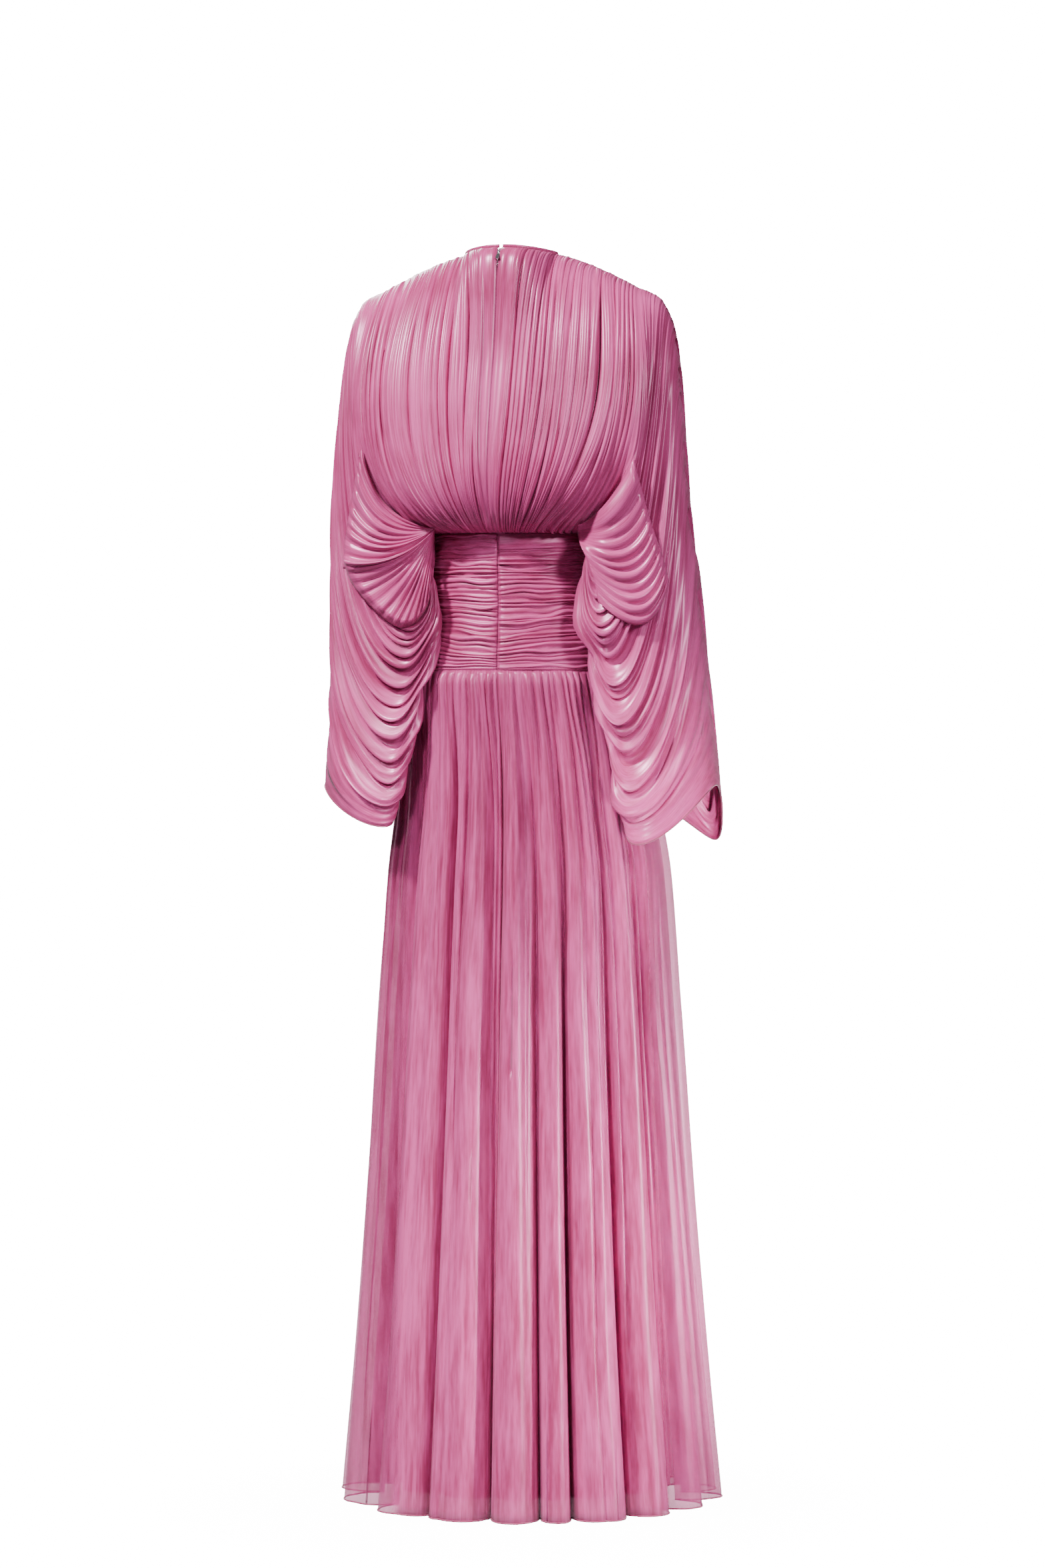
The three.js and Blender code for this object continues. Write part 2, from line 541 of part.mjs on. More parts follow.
function makeSkirtPanel(name, turns, options, colour) {
  const half = () => SEAM / 2;
  const cloth = (turn, level) => skirtPoint(Math.max(0, level), turn, options);
  const core = (turn, level) => bodyPoint(mix(BAND_FOOT.z, SKIRT_HEM_Z, level), turn, -SKIRT_CORE_DEPTH);
  const [outer, inner] = clothWall(cloth, turns, SKIRT_LEVELS, {
    core, closed: options.closed,
    gaps: options.closed ? {} : { start: half, end: half },
  });
  flattenTop(outer, inner, BAND_FOOT.z - SEAM / 2);
  add(name, wallGeometry(outer, inner, options.closed), colour);
}

// Keeps the sewn edge of a wall level, so that it lies against the waistband.
function flattenTop(outer, inner, z) {
  [...outer, ...inner].forEach((column) => {
    column[0].z = z;
  });
}

function makeSkirt() {
  const quarter = (SKIRT_GATHERS * STEPS_PER_GATHER) / 4;
  makeSkirtPanel("skirt_back_right", steps(0, QUARTER_TURN, quarter), {});
  makeSkirtPanel("skirt_front", steps(QUARTER_TURN, 3 * QUARTER_TURN, 2 * quarter), {});
  makeSkirtPanel("skirt_back_left", steps(3 * QUARTER_TURN, 4 * QUARTER_TURN, quarter), {});
}

// The opaque layer that shows through the chiffon, a little shorter than it.
const UNDERSKIRT = { inset: 8, topInset: CLOTH + SEAM, flutes: 0.85, gathers: 0 };

function makeUnderskirt() {
  const columns = FLUTE_VALLEYS.flatMap((valley, i) => {
    const next = FLUTE_VALLEYS[i + 1]?.at ?? FLUTE_VALLEYS[0].at + 360;
    return steps(valley.at, next, STEPS_PER_FLUTE).slice(0, -1).map(radians);
  });
  const options = { hemZ: UNDERSKIRT_HEM_Z, closed: true, ...UNDERSKIRT };
  makeSkirtPanel("underskirt", columns, options, COLOURS.lining);
}

// A narrow binding that stands on the neckline, open at the centre back.
const BINDING = { height: 3.6, thickness: 2.2, steps: 36, open: 0.036 };

function makeNeckBinding() {
  const rims = steps(BINDING.open, 2 * HALF_TURN - BINDING.open, BINDING.steps);
  const ring = (turn, out, up) => {
    const centreZ = Math.cos(turn) > 0 ? NECK.backZ : NECK.frontZ;
    return vector(-(NECK.halfWidth + out) * Math.sin(turn), (NECK.halfDepth + out) * Math.cos(turn),
      mix(NECK.sideZ, centreZ, Math.cos(turn) ** 2) + up);
  };
  const columns = (out) => rims.map((turn) => (
    [ring(turn, out, SEAM + BINDING.height), ring(turn, out, SEAM)]));
  add("neck_binding", wallGeometry(columns(BINDING.thickness / 2), columns(-BINDING.thickness / 2)));
}

// The zip's tape lies inside the centre back, from the neck to the foot of the waistband.
const TAPE = {
  halfShare: PLAIN_SHARE / 2, thickness: 1, gap: 0.5, bandGap: 1.8, stepBack: 14, foot: 12,
};

function makeZipTape() {
  const turns = steps(0, HALF_TURN, HALF_RING_STEPS).slice(0, -1);
  const shares = [-TAPE.halfShare, 0, TAPE.halfShare];
  const halfWidth = Math.abs(topCloth(TAPE.halfShare, HALF_TURN).x);
  const column = (share, depth) => [
    ...turns.map((turn) => topCloth(share, turn)
      .addScaledVector(topFrame(share, turn).outward, -CLOTH - TAPE.gap - depth)),
    ...steps(WAIST.z + TAPE.stepBack, BAND_FOOT.z + TAPE.foot, 3).map((z) => {
      const point = bodyPoint(z, 0, -BAND_WALL - TAPE.bandGap - depth);
      point.x += Math.sign(share) * halfWidth;
      return point;
    }),
  ];
  add("zip_tape", wallGeometry(shares.map((share) => column(share, 0)),
    shares.map((share) => column(share, TAPE.thickness))));
}

// The slider and its pull tab, in a group whose Y points out of the cloth and Z points up it.
const SLIDER = { width: 5.2, height: 8.6, thickness: 1.5, neckHalf: 0.55, neckHeight: 4.4 };
const BRIDGE = { width: 1.2, halfLength: 2.6, rise: 2.2, bar: 0.7 };
const PULL = {
  width: 4.4, length: 14.5, thickness: 0.8, windowHalf: 1.3, windowLength: 4.7, bar: 0.8,
};
const SLIDER_SHARE = 0.52; // how far down the first stretch of the centre back the slider sits
const OVERLAP = 0.2; // how far the slider's parts reach into each other before they are joined

const wasm = await Module();
wasm.setup();

function toSolid(geometry) {
  const plain = geometry.index ? geometry.toNonIndexed() : geometry.clone();
  plain.deleteAttribute("normal");
  plain.deleteAttribute("uv");
  const merged = mergeVertices(plain, 1e-4);
  return new wasm.Manifold(new wasm.Mesh({
    numProp: 3,
    vertProperties: merged.attributes.position.array,
    triVerts: new Uint32Array(merged.index.array),
  }));
}

function toGeometry(solid) {
  const mesh = solid.getMesh();
  const geometry = new THREE.BufferGeometry();
  geometry.setAttribute("position", new THREE.Float32BufferAttribute(mesh.vertProperties, 3));
  geometry.setIndex(new THREE.Uint32BufferAttribute(mesh.triVerts, 1));
  geometry.computeVertexNormals();
  return geometry;
}

// A plate with rounded ends, drawn in X and Z, from y = base outwards.
function roundedPlate(width, low, high, base, thickness, hole) {
  const shape = new THREE.Shape();
  const radius = width * 0.35;
  const half = width / 2;
  shape.moveTo(-half + radius, low);
  shape.lineTo(half - radius, low);
  shape.quadraticCurveTo(half, low, half, low + radius);
  shape.lineTo(half, high - radius);
  shape.quadraticCurveTo(half, high, half - radius, high);
  shape.lineTo(-half + radius, high);
  shape.quadraticCurveTo(-half, high, -half, high - radius);
  shape.lineTo(-half, low + radius);
  shape.quadraticCurveTo(-half, low, -half + radius, low);
  if (hole) {
    const window = new THREE.Path();
    window.moveTo(-hole.half, hole.low);
    window.lineTo(-hole.half, hole.high);
    window.lineTo(hole.half, hole.high);
    window.lineTo(hole.half, hole.low);
    window.closePath();
    shape.holes.push(window);
  }
  const geometry = new THREE.ExtrudeGeometry(shape, {
    depth: thickness, bevelEnabled: false, curveSegments: 5,
  });
  geometry.rotateX(QUARTER_TURN);
  geometry.translate(0, base + thickness, 0);
  return geometry;
}

function makeZipHardware() {
  const edge = topCloth(0, 0);
  const slope = topCloth(0, HALF_TURN / HALF_RING_STEPS).sub(edge);
  const group = new THREE.Group();
  group.position.copy(edge).addScaledVector(slope, SLIDER_SHARE);
  group.rotation.x = Math.atan2(slope.y, -slope.z);
  dress.add(group);

  const plateTop = SEAM + SLIDER.thickness;
  const halfHeight = SLIDER.height / 2;
  const plate = roundedPlate(SLIDER.width, -halfHeight, halfHeight, SEAM, SLIDER.thickness);
  const neckDepth = CLOTH + SEAM + OVERLAP;
  const neck = new THREE.BoxGeometry(2 * SLIDER.neckHalf, neckDepth, SLIDER.neckHeight);
  neck.translate(0, SEAM + OVERLAP - neckDepth / 2, 0);
  const arch = new THREE.Shape([
    new THREE.Vector2(-BRIDGE.halfLength, -OVERLAP),
    new THREE.Vector2(BRIDGE.halfLength, -OVERLAP),
    new THREE.Vector2(BRIDGE.halfLength, BRIDGE.rise * 0.75),
    new THREE.Vector2(BRIDGE.halfLength * 0.6, BRIDGE.rise),
    new THREE.Vector2(-BRIDGE.halfLength * 0.6, BRIDGE.rise),
    new THREE.Vector2(-BRIDGE.halfLength, BRIDGE.rise * 0.75),
  ]);
  const hollow = BRIDGE.halfLength - BRIDGE.bar;
  arch.holes.push(new THREE.Path([
    new THREE.Vector2(-hollow, 0), new THREE.Vector2(-hollow, BRIDGE.rise - BRIDGE.bar),
    new THREE.Vector2(hollow, BRIDGE.rise - BRIDGE.bar), new THREE.Vector2(hollow, 0),
  ]));
  const bridge = new THREE.ExtrudeGeometry(arch, { depth: BRIDGE.width, bevelEnabled: false });
  bridge.translate(0, 0, -BRIDGE.width / 2);
  bridge.rotateY(-QUARTER_TURN);
  bridge.translate(0, plateTop, 0);
  const slider = toSolid(plate).add(toSolid(neck)).add(toSolid(bridge));
  add("zip_slider", toGeometry(slider), COLOURS.silver, group, true);

  const axisOut = plateTop + (BRIDGE.rise - BRIDGE.bar) / 2;
  const pullTop = PULL.bar / 2;
  const pullBase = axisOut - PULL.thickness / 2;
  const pull = roundedPlate(PULL.width, pullTop - PULL.length, pullTop, pullBase, PULL.thickness,
    { half: PULL.windowHalf, low: -PULL.windowLength, high: -pullTop });
  add("zip_pull", pull, COLOURS.silver, group, true);
}

makeBodiceBack("bodice_back_left", 1);
makeBodiceBack("bodice_back_right", -1);
makeBodiceFront();
makeSleeve("sleeve_left", 1);
makeSleeve("sleeve_right", -1);
makeNeckBinding();
makeWaistband();
makeSkirt();
makeUnderskirt();
makeZipTape();
makeZipHardware();

export default dress;
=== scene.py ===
"""A pleated chiffon dress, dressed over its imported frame. Metres, the same frame as the frame's."""
import math

import bmesh
import bpy
import numpy as np
from bpy.props import FloatProperty, FloatVectorProperty, IntProperty, PointerProperty
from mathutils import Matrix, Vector
from mathutils.bvhtree import BVHTree


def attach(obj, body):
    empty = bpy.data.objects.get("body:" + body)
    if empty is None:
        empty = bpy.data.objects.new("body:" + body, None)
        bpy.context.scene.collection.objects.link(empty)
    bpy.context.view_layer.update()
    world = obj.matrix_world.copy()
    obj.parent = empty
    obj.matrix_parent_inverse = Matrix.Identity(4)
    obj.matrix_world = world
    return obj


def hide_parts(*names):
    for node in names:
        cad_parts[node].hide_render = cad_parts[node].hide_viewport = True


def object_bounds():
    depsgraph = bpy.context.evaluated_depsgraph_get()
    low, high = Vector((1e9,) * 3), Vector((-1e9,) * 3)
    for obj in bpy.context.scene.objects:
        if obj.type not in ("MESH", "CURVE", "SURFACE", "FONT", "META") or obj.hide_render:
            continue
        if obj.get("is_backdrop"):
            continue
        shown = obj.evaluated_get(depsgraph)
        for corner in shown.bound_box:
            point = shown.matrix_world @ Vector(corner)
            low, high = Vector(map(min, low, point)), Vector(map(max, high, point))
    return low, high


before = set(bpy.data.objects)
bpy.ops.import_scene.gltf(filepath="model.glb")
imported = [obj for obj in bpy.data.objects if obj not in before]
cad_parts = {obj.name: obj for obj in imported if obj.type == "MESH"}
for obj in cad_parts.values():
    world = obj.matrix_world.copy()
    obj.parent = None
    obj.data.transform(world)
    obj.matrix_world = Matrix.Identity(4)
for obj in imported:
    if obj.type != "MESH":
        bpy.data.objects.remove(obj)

bl_info = {
    "name": "Pleated maxi dress",
    "version": (1, 0, 0),
    "blender": (4, 5, 0),
    "location": "3D View > Sidebar > Dress",
    "description": "Makes the cloth, seams and zip of a pleated chiffon dress over its frame",
    "category": "Add Mesh",
}

MM = 0.001


def rows_of(columns, rows, tail=()):
    """One dictionary for each row of a table, under the names of its columns."""
    return [dict(zip(columns, row + tail)) for row in rows]


# The dress's pattern, in millimetres, as the frame has it.
NECK = {"half_width": 58, "half_depth": 60, "back_z": 8, "side_z": 2, "front_z": -16}
SHOULDER = {"x": 165, "z": -42}
WAIST = {"z": -352, "half_width": 106, "half_depth": 82}
BAND_FOOT_Z = -524
BODICE_LAP = 2.5
BODICE_FOOT_TURN = 76
SKIRT_HEM_Z = -1567
UNDERSKIRT_HEM_Z = -1529
HEM_DIP = 9
PLAIN_SHARE = 0.08
NECKLINE_SHARE = NECK["half_width"] / SHOULDER["x"]
NECK_SPREAD = 0.42
SHIFT_LEAN = 2.2

BODICE_DRAPES = [
    {"across": 0, "back_out": 76, "front_out": 88, "shift": 0, "droop": 14},
    {"across": 0.35, "back_out": 82, "front_out": 98, "shift": 6, "droop": 20},
    {"across": 0.7, "back_out": 86, "front_out": 92, "shift": 20, "droop": 28},
    {"across": 1, "back_out": 82, "front_out": 82, "shift": 40, "droop": 32},
]
SLEEVE_COLUMNS = (
    "along", "top_left", "top_right", "top_z", "low_left", "low_right", "low_z", "low_half",
    "right_droop", "shift_left", "shift_right", "shift_front", "back_out", "front_out", "droop",
    "lean",
)
SLEEVE_DRAPES = rows_of(SLEEVE_COLUMNS, (
    (0, 165, 165, -42, 105.3, 105.3, -352, 20.4, 0, 40, 40, 40, 82, 82, 32, 0),
    (0.03, 176, 176, -46, 112, 112, -352.2, 20, 0, 33, 34, 36, 82, 82, 42, 0.05),
    (0.1, 193, 193, -58, 119, 121, -362, 19, 0, 14, 14, 28, 83, 82, 68, 0.2),
    (0.2, 208, 208, -92, 125, 128, -380, 18, 0, -24, -18, 18, 86, 83, 106, 0.4),
    (0.35, 218, 217, -175, 133, 139, -410, 17, 0, -62, -38, 8, 90, 85, 136, 0.55),
    (0.5, 223, 224, -285, 142, 152, -452, 16, 2, -65, -38, 4, 92, 87, 138, 0.6),
    (0.65, 226, 236, -395, 150, 165, -512, 15, 6, -60, -37, 8, 94, 90, 120, 0.55),
    (0.8, 230, 249, -515, 155, 176, -582, 14, 12, -58, -39, 12, 96, 93, 92, 0.4),
    (0.9, 235, 257, -600, 157, 182, -640, 13, 16, -55, -40, 15, 97, 95, 64, 0.3),
    (1, 242, 264, -668, 159, 186, -696, 12, 20, -53, -40, 18, 98, 97, 38, 0.2),
))
BODY_RINGS = rows_of(("z", "half_width", "half_depth", "x", "y"), (
    (-352, 106, 82, 0, 0),
    (-440, 121, 93, -4, 0),
    (-524, 138, 104, -5, 0),
    (-560, 143, 108, -7, -1),
    (-620, 149, 114, -11, -10),
    (-700, 156, 121, -14, -18),
    (-780, 167, 130, -15, -22),
    (-950, 178, 144, -15, -24),
    (-1280, 200, 168, -17, -22),
    (SKIRT_HEM_Z, 222, 188, -19, -20),
))
# Degrees round from the centre back to the wearer's right, and how deep each valley is.
FLUTE_VALLEYS = (
    (-77, 1), (-49, 0.9), (-24, 0.35), (-3, 1), (14, 0.9), (25, 1), (45, 0.85), (63, 0.8),
    (83, 0.8), (104, 1), (126, 0.9), (149, 0.7), (169, 1), (190, 0.8), (213, 1), (237, 0.75),
    (260, 0.9),
)
FLUTE = {"depth": 21, "early": 0.28, "early_level": 0.18, "narrow": 0.45, "full_width": 22,
         "roundness": 0.13, "fullness": 0.8}

# Where the back's main pleats meet: the share of the way from the centre back to
# the shoulder's end, and how deep the valley is there.
PLEAT_COLUMNS = ("at", "deep")
PLEATS = {
    "left": rows_of(PLEAT_COLUMNS, (
        (0.08, 0.5), (0.13, 0.6), (0.21, 1.2), (0.25, 0.6), (0.33, 1.5), (0.4, 1.2), (0.45, 0.7),
        (0.54, 1.1), (0.63, 1), (0.84, 1.1), (0.875, 0.7), (0.91, 1), (0.94, 0.7), (0.97, 0.9),
        (1, 0.6),
    )),
    "right": rows_of(PLEAT_COLUMNS, (
        (0.08, 0.5), (0.14, 1), (0.18, 0.6), (0.22, 1.4), (0.26, 0.6), (0.31, 1), (0.35, 0.5),
        (0.38, 0.9), (0.42, 0.6), (0.47, 1.3), (0.55, 1), (0.61, 0.7), (0.67, 0.5), (0.73, 1.3),
        (0.84, 1.2), (0.88, 0.7), (0.91, 1), (0.94, 0.7), (0.97, 0.9), (1, 0.6),
    )),
}

# Where the sleeves' swags meet: the height of each valley at the bottom of its
# curve, in millimetres, and how deep it is.
SWAG_COLUMNS = ("low_z", "deep")
SWAGS = {
    "left": rows_of(SWAG_COLUMNS, (
        (-322, 0.6), (-345, 0.8), (-365, 0.6), (-383, 1), (-398, 0.7), (-424, 0.6), (-450, 0.7),
        (-468, 1), (-482, 0.7), (-491, 0.6), (-503, 0.9), (-517, 1), (-537, 1.2), (-557, 1),
        (-584, 1.4), (-609, 0.7), (-628, 1.1), (-659, 1.1), (-691, 0.6),
    )),
    "right": rows_of(SWAG_COLUMNS, (
        (-330, 0.7), (-350, 0.8), (-366, 0.8), (-381, 0.9), (-400, 0.8), (-427, 1), (-439, 0.6),
        (-450, 0.9), (-462, 0.8), (-475, 1), (-488, 0.7), (-500, 1.3), (-531, 1.2), (-541, 0.6),
        (-551, 0.8), (-584, 1.2), (-598, 0.6), (-622, 1), (-665, 1.4), (-702, 0.7),
    )),
}

# Creases, listed one by one. Each lies at a place on its piece's own grid, runs a half length along
# it with a tilt, and is a trough where its depth is positive and a ridge where it is negative.
CREASE_COLUMNS = ("at", "down", "half_length", "half_width", "tilt", "depth")
SKIRT_CREASES = rows_of(CREASE_COLUMNS, (
    (-62, 0.60, 5, 0.004, 0.002, 1.4), (-2, 0.606, 4, 0.004, -0.001, 1.5),
    (21, 0.655, 5, 0.004, 0.001, 1.3), (-66, 0.73, 4, 0.005, 0.003, 1.5),
    (18, 0.755, 4, 0.004, -0.002, 1.4), (19, 0.88, 5, 0.005, 0.001, 1.5),
    (44, 0.90, 4, 0.004, 0.002, 1.3), (60, 0.955, 4, 0.005, -0.003, 1.2),
    (-30, 0.34, 6, 0.004, 0.002, 1.1), (36, 0.37, 6, 0.004, -0.002, 1.1),
    (110, 0.42, 6, 0.004, 0.002, 1.2), (150, 0.61, 6, 0.004, -0.002, 1.4),
    (185, 0.5, 5, 0.004, 0.002, 1.3), (215, 0.66, 6, 0.005, 0.003, 1.4),
    (242, 0.4, 6, 0.004, -0.001, 1.2), (170, 0.8, 5, 0.005, 0.002, 1.4),
))

# Where a fold is sampled, as shares across it.
FINE_STEPS = np.array([0, 0.07, 0.2, 0.38, 0.58, 0.76, 0.91])
PLEAT_STEPS = np.array([0, 0.1, 0.28, 0.5, 0.72, 0.9])
PLAIN_STEPS = np.array([0, 0.17, 0.33, 0.5, 0.68, 0.85])
FINEST_PLEAT = 0.022  # the finest folds' width, as a share of a panel's

# Where a sleeve bulges or hollows: along the sleeve, round it as a share of half
# a turn on the back, how far it reaches each way, and how far it moves out.
BULGE_COLUMNS = ("along", "round", "reach_along", "reach_round", "out")
SLEEVE_BULGES = {
    "left": rows_of(BULGE_COLUMNS, (
        (0.18, 0.55, 0.04, 0.2, 6), (0.36, 0.62, 0.035, 0.2, -5), (0.45, 0.55, 0.05, 0.22, 6),
        (0.62, 0.6, 0.03, 0.2, -5), (0.72, 0.5, 0.05, 0.2, 6), (0.9, 0.4, 0.05, 0.25, 5),
    )),
    "right": rows_of(BULGE_COLUMNS, (
        (0.2, 0.6, 0.06, 0.2, 5), (0.42, 0.55, 0.045, 0.2, 9), (0.5, 0.6, 0.025, 0.2, -6),
        (0.66, 0.5, 0.05, 0.2, 8), (0.76, 0.5, 0.03, 0.22, -5), (0.88, 0.5, 0.05, 0.25, 7),
    )),
}

SWAG_BOTTOM = 0.57  # where round the sleeve, as a share of half a turn, its curves lie lowest
FINEST_SWAG = 0.024  # the finest folds' width, as a share of a sleeve's length
SWAG_STEPS = np.array([0, 0.25, 0.5, 0.75])
SWAG_EDGE_STEPS = np.array([0.86, 0.91, 0.945, 0.97, 0.99])

# How much more steeply the swags climb at the inner and the outer side of a sleeve.
SWAG_RISE = {"inner": 1.5, "outer": 1.1}

# The folds that run out of the waist's corners over the sleeves, given as seen from the
# camera's side, in millimetres: how far left of the axis, and the height, of each line's start, of
# its end and of the point that it bends towards. The left corner's lines all start at its tip.
VIEW_TURN = math.radians(13)
FAN_COLUMNS = ("end_left", "end_z", "bend_left", "bend_z", "start_left", "start_z")
FAN_TIP = (97, -347)
CORNER_SWAGS = rows_of(FAN_COLUMNS, (
    (189, -246, 171, -335), (199, -290, 178, -364), (207, -335, 172, -388), (211, -365, 158, -398),
    (213, -396, 142, -406),
), FAN_TIP)
RIGHT_SWAGS = rows_of(FAN_COLUMNS, (
    (-151, -260, -119, -328, -82, -343), (-165, -310, -140, -374, -82, -352),
    (-174, -342, -150, -412, -85, -367), (-183, -368, -160, -447, -94, -388),
    (-191, -392, -169, -478, -102, -410), (-196, -414, -174, -508, -107, -438),
))
TWISTED_BAND = rows_of(FAN_COLUMNS, (
    (212, -385, 141, -397), (205, -411, 139.5, -405), (188, -434, 134, -409.5),
    (160, -461, 122.5, -417.5), (139, -473, 114.5, -418.5), (121, -467, 107, -412),
    (106, -447, 100.5, -399), (99, -416, 98, -382), (97, -380, 97, -363.5),
), FAN_TIP)

VALLEY_REACH = 1.5  # degrees either side of a valley between two flutes that it takes in

# The neck's binding, in millimetres, with its opening in radians and its thickness in metres.
BINDING = {"open_turn": 0.036, "count": 220, "sides": 14, "half_width": 1.2, "half_height": 2.4,
           "rise": 1.4, "ripple": 0.12, "thickness": 0.0004}
# A tooth of the zip, in metres, and the columns of its tape, in millimetres from the centre back.
TOOTH = {"length": 0.0016, "radius": 0.00042}
TAPE_COLUMNS = (-10, -6, -2, 2, 6, 10)
# How far the lining is drawn in, all round and at its sides, and lowered, in millimetres, and how
# much of the skirt's flutes it has.
LINING = {"inset": 8, "side_inset": 9, "drop": 14, "flutes": 0.85}
BAND_TUCKS, BAND_DIP, SEAM_DEGREES = 33, 9, 1.2
# How far these stand out, in millimetres.
FINE_PLEAT, BLOUSE, FINE_SWAG, GATHER_PAIR = 3.0, 7, 2.4, 7.5
VALLEY_DEPTH = (3, 13)  # of the skirt's valleys, at their top and at the hem

# How opaque the chiffon is where its gathers lie over each other, and where it hangs alone.
GATHERED_ALPHA, SINGLE_ALPHA = 0.78, 0.32
SHEER_ATTRIBUTE = "single_layer"

# Where the photograph was taken from, and its lens in the photograph's own pixels.
CAMERA = {"azimuth": 193, "distance": 7.0, "height": -0.507, "focal_px": 8284,
          "frame_px": (1568, 2352), "axis_px": 768, "horizon_px": 985}

# Each light's place in metres towards the camera, to its left and up, what it points at, its size
# and power, and its spread in degrees.
MIDDLE = (0, 0, -0.7)
LIGHT_COLUMNS = ("name", "away", "left", "up", "target", "size", "energy", "spread")
LIGHTS = rows_of(LIGHT_COLUMNS, (
    ("key", 2.3, 2.8, 3.6, MIDDLE, 0.6, 640, 180),
    ("fill", 3.4, -2.6, 1.6, MIDDLE, 1.0, 150, 180),
    ("front", -3.0, 1.2, 1.4, MIDDLE, 2.0, 110, 180),
    ("skirt", 3.6, 1.4, 1.0, (0, 0, -1.35), 0.5, 4.5, 24),
    ("right veil", 1.6, -3.4, -0.6, (-0.22, 0, -1.25), 0.3, 3.6, 16),
    ("right cuff", 3.0, -1.0, -1.5, (-0.26, 0, -0.72), 0.3, 0.6, 7),
))

BACKDROP_BRIGHTNESS, VEILED_BRIGHTNESS = 25.0, 2.5
VEILED_TINT = (1.0, 0.55, 0.74, 1)
FLOOR_LAYERS = 1  # see-through layers that leave the backdrop at its full brightness
FLOOR_FADE = (0.25, 1.5)  # metres from the dress where the floor fades into the backdrop
FLOOR = {"radius": 6, "corners": 96, "gap": 0.007, "alpha": 0.4}  # metres, and how opaque


def length_setting(name, description, default, low, high, digits=4):
    return FloatProperty(name=name, description=description, default=default, min=low, max=high,
                         unit="LENGTH", precision=digits)


def colour_setting(name, description, default):
    return FloatVectorProperty(name=name, description=description, subtype="COLOR", size=3,
                               default=default, min=0, max=1)


class ClothSizes(bpy.types.PropertyGroup):
    thickness: length_setting(
        "Cloth thickness", "Thickness of the chiffon and the lining", 0.0006, 0.0001, 0.003)
    pleat_depth: length_setting("Pleat depth", "How far a bodice pleat stands out", 0.0078, 0, 0.02)
    swag_depth: length_setting(
        "Swag depth", "How far a fold of a sleeve stands out", 0.0108, 0, 0.03)
    tuck_depth: length_setting(
        "Tuck depth", "How far a tuck of the waistband stands out", 0.0031, 0, 0.01)
    gather_depth: length_setting(
        "Gather depth", "How far a gather below the waistband stands out", 0.0048, 0, 0.01)


class TrimSizes(bpy.types.PropertyGroup):
    hem_radius: length_setting("Hem radius", "Radius of a rolled hem", 0.0011, 0.0003, 0.004)
    stitch_pitch: length_setting(
        "Stitch pitch", "Space from one stitch to the next", 0.0032, 0.001, 0.02)
    stitch_length: length_setting("Stitch length", "Length of one stitch", 0.0021, 0.0005, 0.01)
    stitch_radius: length_setting(
        "Stitch radius", "Radius of the thread", 0.00022, 0.0001, 0.001, digits=5)
    tooth_pitch: length_setting(
        "Tooth pitch", "Space from one zip tooth to the next", 0.0016, 0.0008, 0.006)
    tooth_sides: IntProperty(
        name="Tooth sides", description="Sides of one zip tooth", default=6, min=4, max=12)


class DressColours(bpy.types.PropertyGroup):
    chiffon: colour_setting("Chiffon", "Colour of the chiffon", (0.60, 0.085, 0.28))
    # Painted shade: the darker colour that noise streaks into the chiffon along its pleats, in place
    # of shade deep in its folds. The hem's and the stitches' thread take this colour too.
    chiffon_painted_shade: colour_setting(
        "Painted shade of the chiffon", "Colour painted on the chiffon as shade", (0.32, 0.03, 0.11))
    lining: colour_setting("Lining", "Colour of the satin lining", (0.64, 0.10, 0.30))
    silver: colour_setting("Zip metal", "Colour of the zip's metal", (0.78, 0.78, 0.80))
    floor: colour_setting("Floor", "Colour of the studio floor", (0.92, 0.92, 0.93))


def smooth(low, high, x):
    t = np.clip((np.asarray(x, float) - low) / (high - low), 0, 1)
    return t * t * (3 - 2 * t)


def fall(low, high, x):
    return 1 - smooth(low, high, x)


def mix(a, b, t):
    return a + (b - a) * t


def vector(x, y, z):
    return np.stack(np.broadcast_arrays(x, y, z), axis=-1).astype(float)


def uv_grid(u, v):
    return np.stack(np.broadcast_arrays(u, v), -1)


def uneven(index, seed):
    """A repeatable number from 0 to 1 for the fold with this index."""
    wave = np.sin(np.asarray(index) * 12.9898 + seed * 78.233) * 43758.5453
    return wave - np.floor(wave)


def drift(x, seed):
    """A smooth line through repeatable heights from -1 to 1, one for each whole number."""
    cell = np.floor(x)
    f = smooth(0, 1, x - cell)
    return 2 * mix(uneven(cell, seed), uneven(cell + 1, seed), f) - 1


def drift_over(x, y, seed):
    """The same over two directions."""
    cell = np.floor(y)
    f = smooth(0, 1, y - cell)
    return mix(drift(x, seed + cell * 7.31), drift(x, seed + (cell + 1) * 7.31), f)


def read_table(rows, key, at, column):
    """One column of a table at places between its rows, with a smooth curve through them."""
    x = np.array([row[key] for row in rows], float)
    y = np.array([row[column] for row in rows], float)
    if x[0] > x[-1]:
        x, y = x[::-1], y[::-1]
    slope = np.gradient(y, x)
    slope[1:-1] = (y[2:] - y[:-2]) / (x[2:] - x[:-2])
    at = np.asarray(at, float)
    i = np.clip(np.searchsorted(x, at) - 1, 0, len(x) - 2)
    span = x[i + 1] - x[i]
    f = (at - x[i]) / span
    h00 = 2 * f ** 3 - 3 * f ** 2 + 1
    h10 = f ** 3 - 2 * f ** 2 + f
    inside = (h00 * y[i] + h10 * span * slope[i] + (1 - h00) * y[i + 1]
              + (f ** 3 - f ** 2) * span * slope[i + 1])
    before = y[i] + slope[i] * span * f
    after = y[i + 1] + slope[i + 1] * span * (f - 1)
    return np.where(f < 0, before, np.where(f > 1, after, inside))


def shoulder_ridge(across):
    f = np.clip((across - NECKLINE_SHARE) / (1 - NECKLINE_SHARE), 0, 1)
    return vector(SHOULDER["x"] * across, 0, mix(NECK["side_z"], SHOULDER["z"], f ** 1.35))


